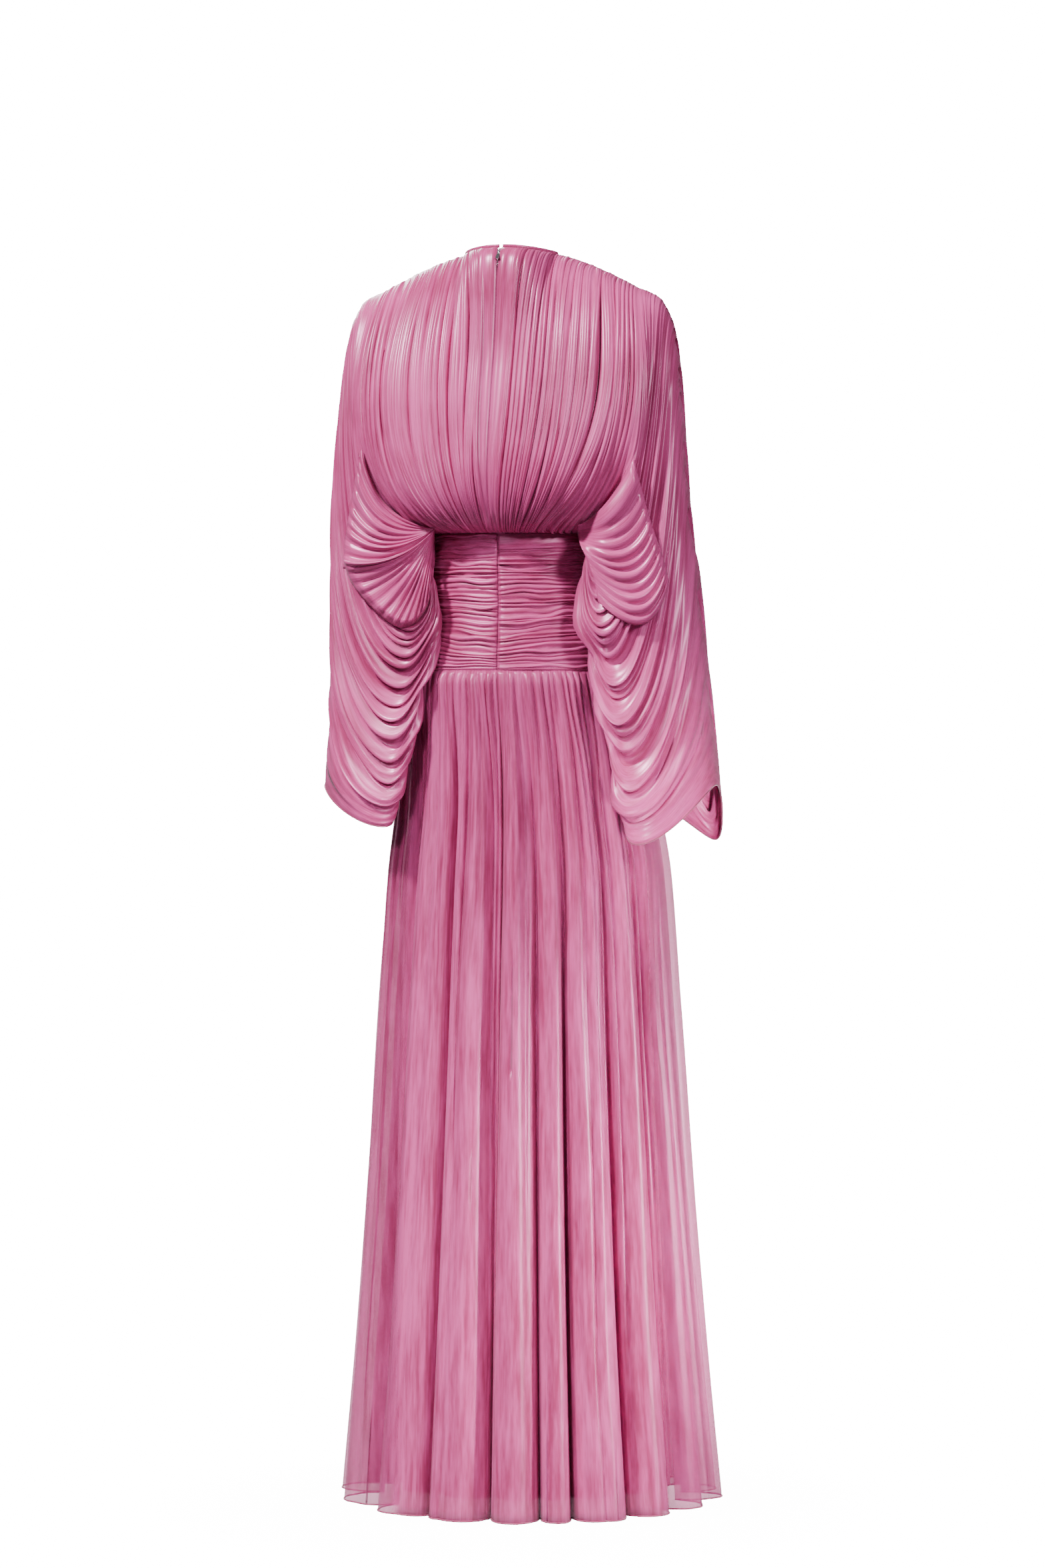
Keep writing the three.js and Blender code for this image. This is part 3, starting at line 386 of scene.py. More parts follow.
def neckline_offset(across, face):
    turn = np.clip(across / NECKLINE_SHARE, 0, 1) * math.pi / 2
    centre_z = NECK["back_z"] if face > 0 else NECK["front_z"]
    point = vector(NECK["half_width"] * np.sin(turn), face * NECK["half_depth"] * np.cos(turn),
                   mix(NECK["side_z"], centre_z, np.cos(turn) ** 2))
    return np.where((across < NECKLINE_SHARE)[..., None], point - shoulder_ridge(across), 0)


def drape(top, foot, half, face, out, shift, droop, lean=0):
    """Points of drape curves that leave the top, swing out and end at the foot."""
    swell = np.sin(half) ** 2
    tilt = lean * np.cos(half)
    return ((top + foot) / 2 + (top - foot) * (0.5 * np.cos(half))[..., None]
            + vector(shift * swell * (1 - SHIFT_LEAN * tilt), face * out * np.abs(np.sin(half)),
                     -droop * swell * (1 + tilt)))


def bodice_surface(across, half, face):
    """The bodice on the wearer's left. half runs from 0 at the top to half a turn at the waist."""
    across, half = np.broadcast_arrays(across, half)
    crowded = mix(across, 0.46 * across + 0.54 * across ** 9, smooth(0.35, 1, half / math.pi))
    turn = crowded * math.radians(BODICE_FOOT_TURN)
    foot = vector((WAIST["half_width"] + BODICE_LAP) * np.sin(turn),
                  face * (WAIST["half_depth"] + BODICE_LAP) * np.cos(turn), WAIST["z"])
    read = lambda column: read_table(BODICE_DRAPES, "across", across, column)
    points = drape(shoulder_ridge(across), foot, half, face,
                   read("back_out" if face > 0 else "front_out"), read("shift"), read("droop"))
    near_neck = 1 - smooth(0, NECK_SPREAD, half / math.pi)
    return points + neckline_offset(across, face) * near_neck[..., None]


def sleeve_surface(along, half, face, hand):
    along, half = np.broadcast_arrays(along, half)
    read = lambda column: read_table(SLEEVE_DRAPES, "along", along, column)
    top = vector(read("top_" + hand), 0, read("top_z"))
    foot = vector(read("low_" + hand), face * read("low_half"), read("low_z"))
    shift = read("shift_" + hand if face > 0 else "shift_front")
    droop = read("droop") + (read("right_droop") if hand == "right" else 0)
    return drape(top, foot, half, face, read("back_out" if face > 0 else "front_out"), shift,
                 droop, read("lean"))


def surface_frame(surface, place, half, face):
    """The outward direction, the direction along the piece, and how far apart its curves lie."""
    near, near_half, end = 0.004, 0.02, 0.001
    along = surface(place + near, half) - surface(place - near, half)
    start = np.maximum(half - near_half, end)
    stop = np.minimum(half + near_half, math.pi - end)
    down = surface(place, stop) - surface(place, start)
    outward = np.cross(along, down) * face
    outward /= np.maximum(np.linalg.norm(outward, axis=-1, keepdims=True), 1e-9)
    spread = np.linalg.norm(along, axis=-1)
    return outward, along / np.maximum(spread, 1e-9)[..., None], spread / (2 * near)


def fold_edges(count, seed, spread=0.5):
    """Where a row of uneven folds begins and ends, from 0 to 1."""
    widths = 1 + spread * (2 * uneven(np.arange(count), seed) - 1)
    return np.concatenate([[0], np.cumsum(widths)]) / widths.sum()


def fold_places(edges, steps):
    """The places where folds are sampled, with each one's fold and its share across that fold."""
    count = len(edges) - 1
    index = np.append(np.repeat(np.arange(count), len(steps)), count - 1)
    share = np.append(np.tile(steps, count), 1)
    place = edges[index] + share * (edges[index + 1] - edges[index])
    return place, index, share, (edges[index + 1] - edges[index])


def split_folds(edges, finest, seed):
    """The edges of the uneven finer folds that fill each main fold."""
    fine = []
    for i, (start, end) in enumerate(zip(edges[:-1], edges[1:])):
        count = max(1, round((end - start) / finest))
        fine.append(start + (end - start) * fold_edges(count, seed + i, 0.4)[:-1])
    return np.concatenate(fine + [[edges[-1]]])


def main_fold(edges, deep, place):
    """Each place's share across its main fold, that fold's width and the nearer valley's depth."""
    i = np.clip(np.searchsorted(edges, place, side="right") - 1, 0, len(edges) - 2)
    width = edges[i + 1] - edges[i]
    share = np.clip((place - edges[i]) / width, 0, 1)
    return i, share, width, np.where(share < 0.5, deep[i], deep[i + 1])


def column_of(rows, key):
    return np.array([row[key] for row in rows], float)


def crown(share, fullness=0.6):
    """A pleat's outline: a broad crown between two sharp valleys."""
    return np.clip(np.sin(np.pi * np.clip(share, 0, 1)), 0, 1) ** fullness


def creases(table, at, down):
    """How deep the listed creases are at each point of a grid."""
    depth = np.zeros(np.broadcast(at, down).shape)
    for row in table:
        run = (at - row["at"]) / row["half_length"]
        line = (down - row["down"] - row["tilt"] * run) / row["half_width"]
        depth = depth + row["depth"] * np.exp(-line ** 2) * (1 - smooth(0.6, 1.3, np.abs(run)))
    return depth


def body_point(z, turn, out=0):
    """A point of the body's ring at z, turned from the centre back to the wearer's right."""
    read = lambda column: read_table(BODY_RINGS, "z", z, column)
    a, b = read("half_width"), read("half_depth")
    away = vector(-np.sin(turn) / a, np.cos(turn) / b, 0)
    away /= np.linalg.norm(away, axis=-1, keepdims=True)
    return vector(read("x") - a * np.sin(turn), read("y") + b * np.cos(turn), z) \
        + away * np.asarray(out)[..., None]


def flute_at(turn):
    first = FLUTE_VALLEYS[0][0]
    starts = np.array([valley[0] for valley in FLUTE_VALLEYS] + [first + 360], float)
    pinches = np.array([valley[1] for valley in FLUTE_VALLEYS] + [FLUTE_VALLEYS[0][1]])
    at = first + np.mod(np.degrees(turn) - first, 360)
    i = np.clip(np.searchsorted(starts, at, side="right") - 1, 0, len(FLUTE_VALLEYS) - 1)
    width = starts[i + 1] - starts[i]
    share = (at - starts[i]) / width
    return share, width, np.where(share < 0.5, pinches[i], pinches[i + 1])


def skirt_surface(level, turn, hem_z, inset=0, flutes=1, raised=0):
    z = mix(BAND_FOOT_Z, hem_z - HEM_DIP * np.clip(np.cos(turn), 0, 1), level)
    share, width, pinch = flute_at(turn)
    growth = flutes * mix(level, smooth(0, FLUTE["early_level"], level), FLUTE["early"])
    width_share = mix(FLUTE["narrow"], 1, np.minimum(1, width / FLUTE["full_width"]))
    ridge = 0.5 - 0.5 * np.cos(2 * np.pi * share)
    bump = FLUTE["depth"] * growth * width_share * (
        2 * ridge ** FLUTE["fullness"] - 1 + (1 - pinch) * (1 - ridge))
    swell = np.radians(width) * FLUTE["roundness"] * growth * np.sin(2 * np.pi * share)
    drawn_in = inset * (smooth(0, 0.02, level) + 2.2 * level)
    return body_point(z, turn - swell, bump + raised - drawn_in)


def cloth_piece(name, points, uv, outward, material, closed=False, thickness=None):
    """Makes one sheet of cloth from a grid of points in millimetres, as a thin shell."""
    columns, rows = points.shape[:2]
    ids = np.arange(columns * rows).reshape(columns, rows)
    near, far = ids[:-1], ids[1:]
    uv_near, uv_far = uv[:-1], uv[1:]
    if closed:
        near, far = ids, np.roll(ids, -1, axis=0)
        step = uv[1, :, 0] - uv[0, :, 0]
        last = uv[-1].copy()
        last[:, 0] += step
        uv_near, uv_far = uv, np.concatenate([uv[1:], last[None]])
    quads = np.stack([near[:, :-1], far[:, :-1], far[:, 1:], near[:, 1:]], -1).reshape(-1, 4)
    corners = np.stack([uv_near[:, :-1], uv_far[:, :-1], uv_far[:, 1:], uv_near[:, 1:]], 2)
    corners = corners.reshape(-1, 4, 2)
    flat = points.reshape(-1, 3)
    facing = np.cross(flat[quads[:, 1]] - flat[quads[:, 0]], flat[quads[:, 3]] - flat[quads[:, 0]])
    away = outward.reshape(-1, 3)[quads[:, 0]]
    if (facing * away).sum() < 0:
        quads, corners = quads[:, ::-1], corners[:, ::-1]
    mesh = bpy.data.meshes.new(name)
    mesh.vertices.add(len(flat))
    mesh.vertices.foreach_set("co", (flat * MM).astype(np.float32).ravel())
    mesh.loops.add(quads.size)
    mesh.loops.foreach_set("vertex_index", quads.astype(np.int32).ravel())
    mesh.polygons.add(len(quads))
    mesh.polygons.foreach_set("loop_start", np.arange(0, quads.size, 4, dtype=np.int32))
    mesh.polygons.foreach_set("loop_total", np.full(len(quads), 4, np.int32))
    layer = mesh.uv_layers.new(name="UVMap")
    layer.data.foreach_set("uv", corners.astype(np.float32).ravel())
    mesh.polygons.foreach_set("use_smooth", np.ones(len(quads), bool))
    mesh.materials.append(material)
    mesh.update(calc_edges=True)
    mesh.validate()
    piece = bpy.data.objects.new(name, mesh)
    bpy.context.scene.collection.objects.link(piece)
    shell = piece.modifiers.new("Cloth thickness", "SOLIDIFY")
    shell.thickness = thickness or bpy.context.scene.dress_cloth.thickness
    shell.offset = -1
    shell.use_even_offset = False
    return piece


def dress_piece(piece, slot, *nodes, body="dress"):
    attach(piece, body)
    if nodes:
        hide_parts(*nodes)
    return piece


def principled(tree):
    return next(node for node in tree.nodes if node.type == "BSDF_PRINCIPLED")


def new_material(name):
    material = bpy.data.materials.new(name)
    material.use_nodes = True
    return material, material.node_tree, principled(material.node_tree)


def set_values(node, values):
    for key, value in values.items():
        node.inputs[key].default_value = value


def add_node(tree, kind, values=None, **settings):
    node = tree.nodes.new(kind)
    for key, value in settings.items():
        setattr(node, key, value)
    set_values(node, values or {})
    return node


def join(tree, *links):
    """Links nodes. Each link names a node, its output, the node that it runs to and the input."""
    for source, output, target, entry in links:
        tree.links.new(source.outputs[output], target.inputs[entry])


def shade_ramp(tree, dark, light, low=0.0, high=1.0):
    ramp = add_node(tree, "ShaderNodeValToRGB")
    first, last = ramp.color_ramp.elements
    first.position, last.position = low, high
    first.color, last.color = (*dark, 1), (*light, 1)
    return ramp


def pleated_cloth(name, light, deep, roughness, sheen, stripes=1.0, bump=0.25, clouded=0.35):
    """Silk cloth with fine pressed pleats that run along its UV map's V, and painted shade: noise
    streaks its colour from light to deep along the pleats.
    """
    material, tree, shader = new_material(name)
    uv = add_node(tree, "ShaderNodeUVMap", uv_map="UVMap")
    place = add_node(tree, "ShaderNodeTexCoord")
    stretch = add_node(tree, "ShaderNodeMapping", {"Scale": (1.0, 0.045, 1.0)})
    lines, bands, clouds = (
        add_node(tree, "ShaderNodeTexNoise", {"Scale": scale, "Detail": 3.0, "Roughness": rough})
        for scale, rough in ((520.0 * stripes, 0.62), (70.0 * stripes, 0.6), (7.0, 0.55)))
    both = add_node(tree, "ShaderNodeMix", {"Factor": 0.5}, data_type="FLOAT")
    painted_shade_streaks = add_node(tree, "ShaderNodeMix", {"Factor": clouded}, data_type="FLOAT")
    # Painted shade: the noise darkens the light colour towards the deep one in streaks along the
    # pleats and in broad patches.
    colours = shade_ramp(tree, deep, light, 0.41, 0.58)
    relief = add_node(tree, "ShaderNodeBump", {"Strength": bump, "Distance": 0.0006})
    join(tree, (uv, "UV", stretch, "Vector"), (place, "Object", clouds, "Vector"),
         (stretch, "Vector", lines, "Vector"), (stretch, "Vector", bands, "Vector"),
         (lines, "Fac", both, "A"), (bands, "Fac", both, "B"),
         (both, "Result", painted_shade_streaks, "A"), (clouds, "Fac", painted_shade_streaks, "B"),
         (painted_shade_streaks, "Result", colours, "Fac"), (colours, "Color", shader, "Base Color"),
         (both, "Result", relief, "Height"), (relief, "Normal", shader, "Normal"))
    set_values(shader, {
        "Roughness": roughness, "Sheen Weight": sheen, "Sheen Roughness": 0.45,
        "Sheen Tint": (1.0, 0.82, 0.92, 1), "Specular IOR Level": 0.6,
        "Specular Tint": (1.0, 0.52, 0.76, 1)})
    return material


def sheer_cloth(name, *values, **settings):
    """Pleated cloth that is more see-through where it hangs as a single layer."""
    material = pleated_cloth(name, *values, **settings)
    tree = material.node_tree
    single = add_node(tree, "ShaderNodeAttribute", attribute_name=SHEER_ATTRIBUTE)
    alpha = add_node(tree, "ShaderNodeMapRange", {"To Min": GATHERED_ALPHA, "To Max": SINGLE_ALPHA})
    join(tree, (single, "Fac", alpha, "Value"), (alpha, "Result", principled(tree), "Alpha"))
    return material


def mark_single_layer(piece, points):
    """Marks the skirt's sides, where the chiffon hangs clear of the lining."""
    z = points[..., 2]
    level = (BAND_FOOT_Z - z) / (BAND_FOOT_Z - SKIRT_HEM_Z)
    sideways = (points[..., 0] - read_table(BODY_RINGS, "z", z, "x")) * math.cos(VIEW_TURN) \
        + (points[..., 1] - read_table(BODY_RINGS, "z", z, "y")) * math.sin(VIEW_TURN)
    share = np.abs(sideways) / read_table(BODY_RINGS, "z", z, "half_width")
    lining_edge = mix(0.95, 0.76, level)
    marks = smooth(lining_edge - 0.05, lining_edge + 0.04, share)
    layer = piece.data.attributes.new(SHEER_ATTRIBUTE, "FLOAT", "POINT")
    layer.data.foreach_set("value", marks.astype(np.float32).ravel())


def mottled(name, colour, dark, kind, pattern, values, relief=None, **settings):
    """A plain material that one texture on the Object coordinates shades and may raise."""
    material, tree, shader = new_material(name)
    place = add_node(tree, "ShaderNodeTexCoord")
    texture = add_node(tree, kind, pattern, **settings)
    shade = shade_ramp(tree, (dark * c for c in colour), colour)
    join(tree, (place, "Object", texture, "Vector"), (texture, "Fac", shade, "Fac"),
         (shade, "Color", shader, "Base Color"))
    if relief:
        bump = add_node(tree, "ShaderNodeBump", relief)
        join(tree, (texture, "Fac", bump, "Height"), (bump, "Normal", shader, "Normal"))
    set_values(shader, values)
    return material


def woven_thread(name, colour):
    return mottled(name, colour, 0.7, "ShaderNodeTexWave", {"Scale": 420.0, "Distortion": 1.5},
                   {"Roughness": 0.55, "Sheen Weight": 0.3}, {"Strength": 0.3, "Distance": 0.0002},
                   bands_direction="DIAGONAL")


def polished_metal(name, colour):
    return mottled(name, colour, 0.8, "ShaderNodeTexNoise", {"Scale": 900.0, "Detail": 4.0},
                   {"Metallic": 1.0, "Roughness": 0.22}, {"Strength": 0.06, "Distance": 0.0001})


def kept_material(name, make, *values, **settings):
    """One material of this name, made when it is first asked for."""
    return bpy.data.materials.get(name) or make(name, *values, **settings)


# How each cloth is made, its roughness and sheen, and what differs from the plain pleated cloth.
CLOTHS = {
    "silk_chiffon": (pleated_cloth, 0.3, 0.06, {}),
    "waistband_chiffon": (pleated_cloth, 0.36, 0.08, {"stripes": 1.2}),
    "sheer_chiffon": (sheer_cloth, 0.36, 0.08, {"stripes": 0.6, "clouded": 0.12}),
    "satin_lining": (pleated_cloth, 0.36, 0.1, {"stripes": 0.3, "bump": 0.15, "clouded": 0.12}),
}


def cloth_material(name):
    make, roughness, sheen, settings = CLOTHS[name]
    colours = bpy.context.scene.dress_colours
    # The deep colour is painted shade that the pleated cloth's noise streaks in; for the lining it is
    # 0.72 of the lining's colour.
    light, deep = tuple(colours.chiffon), tuple(colours.chiffon_painted_shade)
    if name == "satin_lining":
        light = tuple(colours.lining)
        deep = tuple(0.72 * c for c in light)
    return kept_material(name, make, light, deep, roughness, sheen, **settings)


def bodice_panel(side, face, seed, rows):
    """The points, UV map and outward directions of one half of the back or front bodice."""
    depth = bpy.context.scene.dress_cloth.pleat_depth / MM
    pleats = PLEATS["left" if side > 0 else "right"]
    edges, deep = column_of(pleats, "at"), column_of(pleats, "deep")
    finest = FINEST_PLEAT if face > 0 else FINEST_PLEAT * 1.4
    place, index, share, width = fold_places(split_folds(edges, finest, seed), PLEAT_STEPS)
    across = np.concatenate([[0, PLAIN_SHARE * 0.5], place])[:, None]
    plain = np.concatenate([[1, 1], 0 * place])[:, None]
    index, share, width = (np.concatenate([[0, 0], row])[:, None] for row in (index, share, width))
    main, main_share, main_width, valley = main_fold(edges, deep, across)
    half = np.linspace(0, math.pi, rows)[None, :]
    turn = half / math.pi
    wander = (0.3 * main_width * drift_over(main * 0.9, turn * 2.6, seed + 1)
              + 0.3 * width * drift_over(index * 0.9, turn * 5, seed + 7)) \
        * smooth(0, 0.1, turn) * fall(0.93, 1, turn) \
        * np.minimum(1, across * (1 - across) * 9)
    at = np.clip(across + wander * (1 - plain), 0, 1)
    surface = lambda a, h: bodice_surface(a, h, face)
    points = surface(at, half)
    outward, along, spread = surface_frame(surface, at, half * np.ones_like(at), face)
    level = outward.copy()
    level[..., 2] *= 1 - smooth(0.85, 1, turn)
    outward = level / np.linalg.norm(level, axis=-1, keepdims=True)
    start, foot = smooth(0, 0.03, turn), smooth(0.85, 1, turn)
    wide, narrow = spread * main_width, spread * width
    change = 1 + 0.45 * drift_over(main * 1.7, turn * 3.5, seed + 3)
    folds = -depth * valley * change * (1 - crown(main_share, 0.42)) * wide / (wide + 5) \
        * start * mix(0.4, 1, smooth(0.03, 0.3, turn)) * mix(1, 0.75, foot)
    tall = mix(0.3, 1.5, uneven(index, seed + 2)) \
        * (1 + 0.4 * drift_over(index * 1.7, turn * 4, seed + 4))
    fine = FINE_PLEAT * crown(share, 0.6) * tall * narrow / (narrow + 3) \
        * start * mix(0.5, 1.35, smooth(0.45, 0.85, turn)) * mix(1, 0.8, foot)
    slow = 4.5 * drift_over(at * 5, turn * 2.2, seed + 5) * smooth(0.12, 0.5, turn) \
        * fall(0.8, 1, turn) * smooth(0.02, 0.2, at) * fall(0.9, 1, at)
    blouse = BLOUSE * np.exp(-((turn - 0.68) / 0.13) ** 2) * fall(0.8, 1, at)
    push = 2.6 * crown(main_share, 1) * (uneven(main, seed + 6) - 0.3) * start * wide / (wide + 8)
    kept = (1 - plain) * fall(0.97, 1, across)
    points = points + outward * ((folds + fine) * kept + slow + blouse)[..., None] \
        + along * (push * kept)[..., None]
    points[..., 0] *= side
    outward = outward * [side, 1, 1]
    uv = uv_grid(across * 0.3, turn * 0.45)
    return points, uv, outward


def make_bodice_back(side, seed):
    name = "bodice_back_left" if side > 0 else "bodice_back_right"
    points, uv, outward = bodice_panel(side, 1, seed, 100)
    half_open = 0.15 + 2.0 * smooth(-34, NECK["back_z"], points[0, :, 2])
    points[0, :, 0] = side * half_open
    piece = cloth_piece(name + "_pleated", points, uv, outward, cloth_material("silk_chiffon"))
    dress_piece(piece, "chiffon", name)


class DRESS_OT_bodice(bpy.types.Operator):
    """Makes the pleated back and front of the bodice"""
    bl_idname = "dress.bodice"
    bl_label = "Bodice"

    def execute(self, context):
        make_bodice_back(1, 11)
        make_bodice_back(-1, 23)
        right = bodice_panel(-1, -1, 23, 54)
        left = bodice_panel(1, -1, 11, 54)
        right[1][..., 0] *= -1
        joined = [np.concatenate([r[::-1], l[1:]]) for r, l in zip(right, left)]
        piece = cloth_piece("bodice_front_pleated", *joined, cloth_material("silk_chiffon"))
        dress_piece(piece, "chiffon", "bodice_front")
        return {"FINISHED"}


def shelf(share):
    """A swag's outline: it swells slowly and ends in a full lower edge over a sharp valley."""
    return np.where(share < 0.78, np.sin(np.pi / 2 * np.clip(share / 0.78, 0, 1)) ** 1.3,
                    np.sqrt(np.clip(1 - ((share - 0.78) / 0.22) ** 2, 0, 1)))


def bulges(hand, along, turn):
    """How far the listed bulges move a sleeve out."""
    out = np.zeros(np.broadcast(along, turn).shape)
    for row in SLEEVE_BULGES[hand]:
        out = out + row["out"] * np.exp(-((along - row["along"]) / row["reach_along"]) ** 2
                                        - ((turn - row["round"]) / row["reach_round"]) ** 2)
    return out * smooth(0, 0.05, along) * fall(0.9, 1, turn)


def swag_places(edges, seed):
    """Where along the sleeve its swags are sampled, closely near their sharp lower edges."""
    fine = fold_places(split_folds(edges, FINEST_SWAG, seed), SWAG_STEPS)[0]
    sharp = edges[:-1, None] + np.diff(edges)[:, None] * SWAG_EDGE_STEPS
    place = np.unique(np.concatenate([fine, sharp.ravel()]))
    return place[np.append(True, np.diff(place) > 4e-4)]


def make_sleeve(side, seed):
    """One wide sleeve, a tube whose swags hang in nested curves."""
    hand = "left" if side > 0 else "right"
    depth = bpy.context.scene.dress_cloth.swag_depth / MM
    ladder = np.linspace(0, 1, 200)
    lowest = sleeve_surface(ladder, np.full(200, SWAG_BOTTOM * math.pi), 1, hand)[:, 2]
    edges = np.concatenate([[0], np.interp(-column_of(SWAGS[hand], "low_z"), -lowest, ladder), [1]])
    deep = np.concatenate([[0.6], column_of(SWAGS[hand], "deep"), [0.3]])
    fine_edges = split_folds(edges, FINEST_SWAG, seed)
    place = swag_places(edges, seed)
    main, share, width, _ = main_fold(edges, deep, place)
    fine, fine_share, fine_width, _ = main_fold(fine_edges, np.ones(len(fine_edges)), place)
    turns = np.linspace(-math.pi, math.pi, 125)
    parts = []
    for face in (-1, 1):
        half = np.abs(turns[turns < 0] if face < 0 else turns[turns >= 0])[:, None]
        turn = half / math.pi
        wander = (0.3 * width * drift_over(main * 0.8, turn * 3 * face, seed + 1)
                  + 0.4 * fine_width * drift_over(fine * 0.8, turn * 6 * face, seed + 8)) \
            * smooth(0, 0.08, place) * fall(0.94, 1, place) * smooth(0, 0.2, turn)
        rise = 1 + SWAG_RISE["inner"] * smooth(0.52, 0.88, turn) \
            + SWAG_RISE["outer"] * fall(0, 0.52, turn)
        before = np.clip(place + wander, 0, 1)
        at = before ** rise
        surface = lambda a, h, f=face: sleeve_surface(a, h, f, hand)
        points = surface(at, half)
        outward, down, spread = surface_frame(surface, at, half * np.ones_like(at), face)
        stretch = spread * rise * np.maximum(before, 0.02) ** (rise - 1)
        wide, narrow = stretch * width, stretch * fine_width
        ends = mix(0.3, 1, smooth(0.02, 0.4, turn)) * mix(1, 0.4, smooth(0.75, 1, turn))
        near_seam = smooth(0, 0.07, at)
        length = near_seam * mix(1, 0.35, smooth(0.93, 1, place))
        change = 1 + 0.4 * drift_over(main * 1.3, turn * 3 * face, seed + 3)
        amount = depth * deep[main + 1] * change * ends * length * wide / (wide + 10)
        tall = mix(0.3, 1.5, uneven(fine, seed + 4)) \
            * (1 + 0.4 * drift_over(fine, turn * 5, seed + 6))
        small = FINE_SWAG * crown(fine_share, 0.6) * tall * narrow / (narrow + 4) * near_seam \
            * fall(0.97, 1, place) * mix(0.5, 1, smooth(0, 0.3, turn))
        raised = amount * (1.6 * shelf(share) - 0.8) + small
        if face > 0:
            raised = raised + bulges(hand, at, turn)
        push = (0.9 * amount * shelf(share) ** 2)[..., None]
        points = points + outward * raised[..., None] + down * push
        points[..., 0] *= side
        parts.append((points, outward * [side, 1, 1]))
    points = np.concatenate([parts[0][0], parts[1][0]])
    outward = np.concatenate([parts[0][1], parts[1][1]])
    fill = np.linspace(0, 1, 6)[1:-1, None, None]
    points = np.concatenate([points, mix(points[-1], points[0], fill)])
    outward = np.concatenate([outward, np.broadcast_to([0, 0, -1], (4, *points.shape[1:]))])
    uv = uv_grid(place[None, :] * 0.55, np.linspace(0, 1.1, len(points))[:, None])
    return points, uv, outward, hand


def seen_depth(left, z, pieces):
    """How near to the viewer, in metres, the cloth lies at a place seen from the camera's side."""
    sideways = Vector((math.cos(VIEW_TURN), math.sin(VIEW_TURN), 0))
    nearer = Vector((-math.sin(VIEW_TURN), math.cos(VIEW_TURN), 0))
    start = sideways * left + nearer * 0.6 + Vector((0, 0, z))
    hits = [tree.ray_cast(start, -nearer)[0] for tree in pieces]
    return max([hit.dot(nearer) for hit in hits if hit] or [math.nan])


def eased(grid, rounds):
    """The grid with its bumps spread out, its rims kept."""
    for _ in range(rounds):
        grid[1:-1] = (grid[:-2] + 2 * grid[1:-1] + grid[2:]) / 4
        grid[:, 1:-1] = (grid[:, :-2] + 2 * grid[:, 1:-1] + grid[:, 2:]) / 4
    return grid


def make_fan(rows, pleats, swell, relief, seed, pieces):
    """A pleated fan of cloth that lies on the pieces under it."""
    turned, index, share, _ = fold_places(fold_edges(pleats, seed, 0.5), PLEAT_STEPS)
    ladder = np.linspace(0, 1, len(rows))
    place = lambda key: np.interp(turned, ladder, column_of(rows, key))
    ends = eased(np.stack([place("end_left"), place("end_z")], -1)[:, None], 14)
    bends = eased(np.stack([place("bend_left"), place("bend_z")], -1)[:, None], 14)
    starts = np.stack([place("start_left"), place("start_z")], -1)[:, None]
    v = np.linspace(0, 1, 44)[None, :, None]
    flat = (1 - v) ** 2 * starts + 2 * v * (1 - v) * bends + v ** 2 * ends
    trees = [BVHTree.FromObject(piece, bpy.context.evaluated_depsgraph_get()) for piece in pieces]
    depth = np.array([[seen_depth(x * MM, z * MM, trees) for x, z in row] for row in flat]) / MM
    depth = np.where(np.isnan(depth), np.nanmedian(depth[:, :8]), depth)
    for _ in range(5):
        wider = np.pad(depth, 1, mode="edge")
        depth = np.maximum.reduce([wider[1:-1, 1:-1], wider[:-2, 1:-1], wider[2:, 1:-1],
                                   wider[1:-1, :-2], wider[1:-1, 2:]])
    depth = eased(depth, 40)
    v = v[..., 0]
    roll = mix(1, 0, smooth(0.93, 1, v)) * mix(0.25, 1, smooth(0, 0.3, v))
    sides = np.sin(np.pi * np.clip(turned, 0, 1))[:, None] ** 0.5
    tall = mix(0.5, 1.4, uneven(index, seed + 2))[:, None] \
        * (1 + 0.35 * drift_over(index[:, None] * 1.3, v * 4, seed + 3))
    folds = relief * crown(share, 0.55)[:, None] * tall * smooth(0.02, 0.5, v) \
        * mix(1, 0.3, smooth(0.93, 1, v))
    near = depth + 0.8 + swell * roll * mix(0.3, 1, sides) + folds
    cos, sin = math.cos(VIEW_TURN), math.sin(VIEW_TURN)
    left, z = flat[..., 0], flat[..., 1]
    points = np.stack([left * cos - near * sin, left * sin + near * cos, z], -1)
    outward = np.broadcast_to([-sin, cos, 0], points.shape)
    uv = uv_grid(turned[:, None] * 0.24, v * 0.12)
    return points, uv, outward


class DRESS_OT_sleeves(bpy.types.Operator):
    """Makes the wide sleeves with their nested swags"""
    bl_idname = "dress.sleeves"
    bl_label = "Sleeves"

    def execute(self, context):
        for side, seed in ((1, 52), (-1, 67)):
            points, uv, outward, hand = make_sleeve(side, seed)
            piece = cloth_piece(f"sleeve_{hand}_draped", points, uv, outward,
                                cloth_material("silk_chiffon"), closed=True)
            dress_piece(piece, "chiffon", "sleeve_" + hand)
            make_hem(f"sleeve_{hand}_hem", points[:, -1], piece, closed=True)
        return {"FINISHED"}


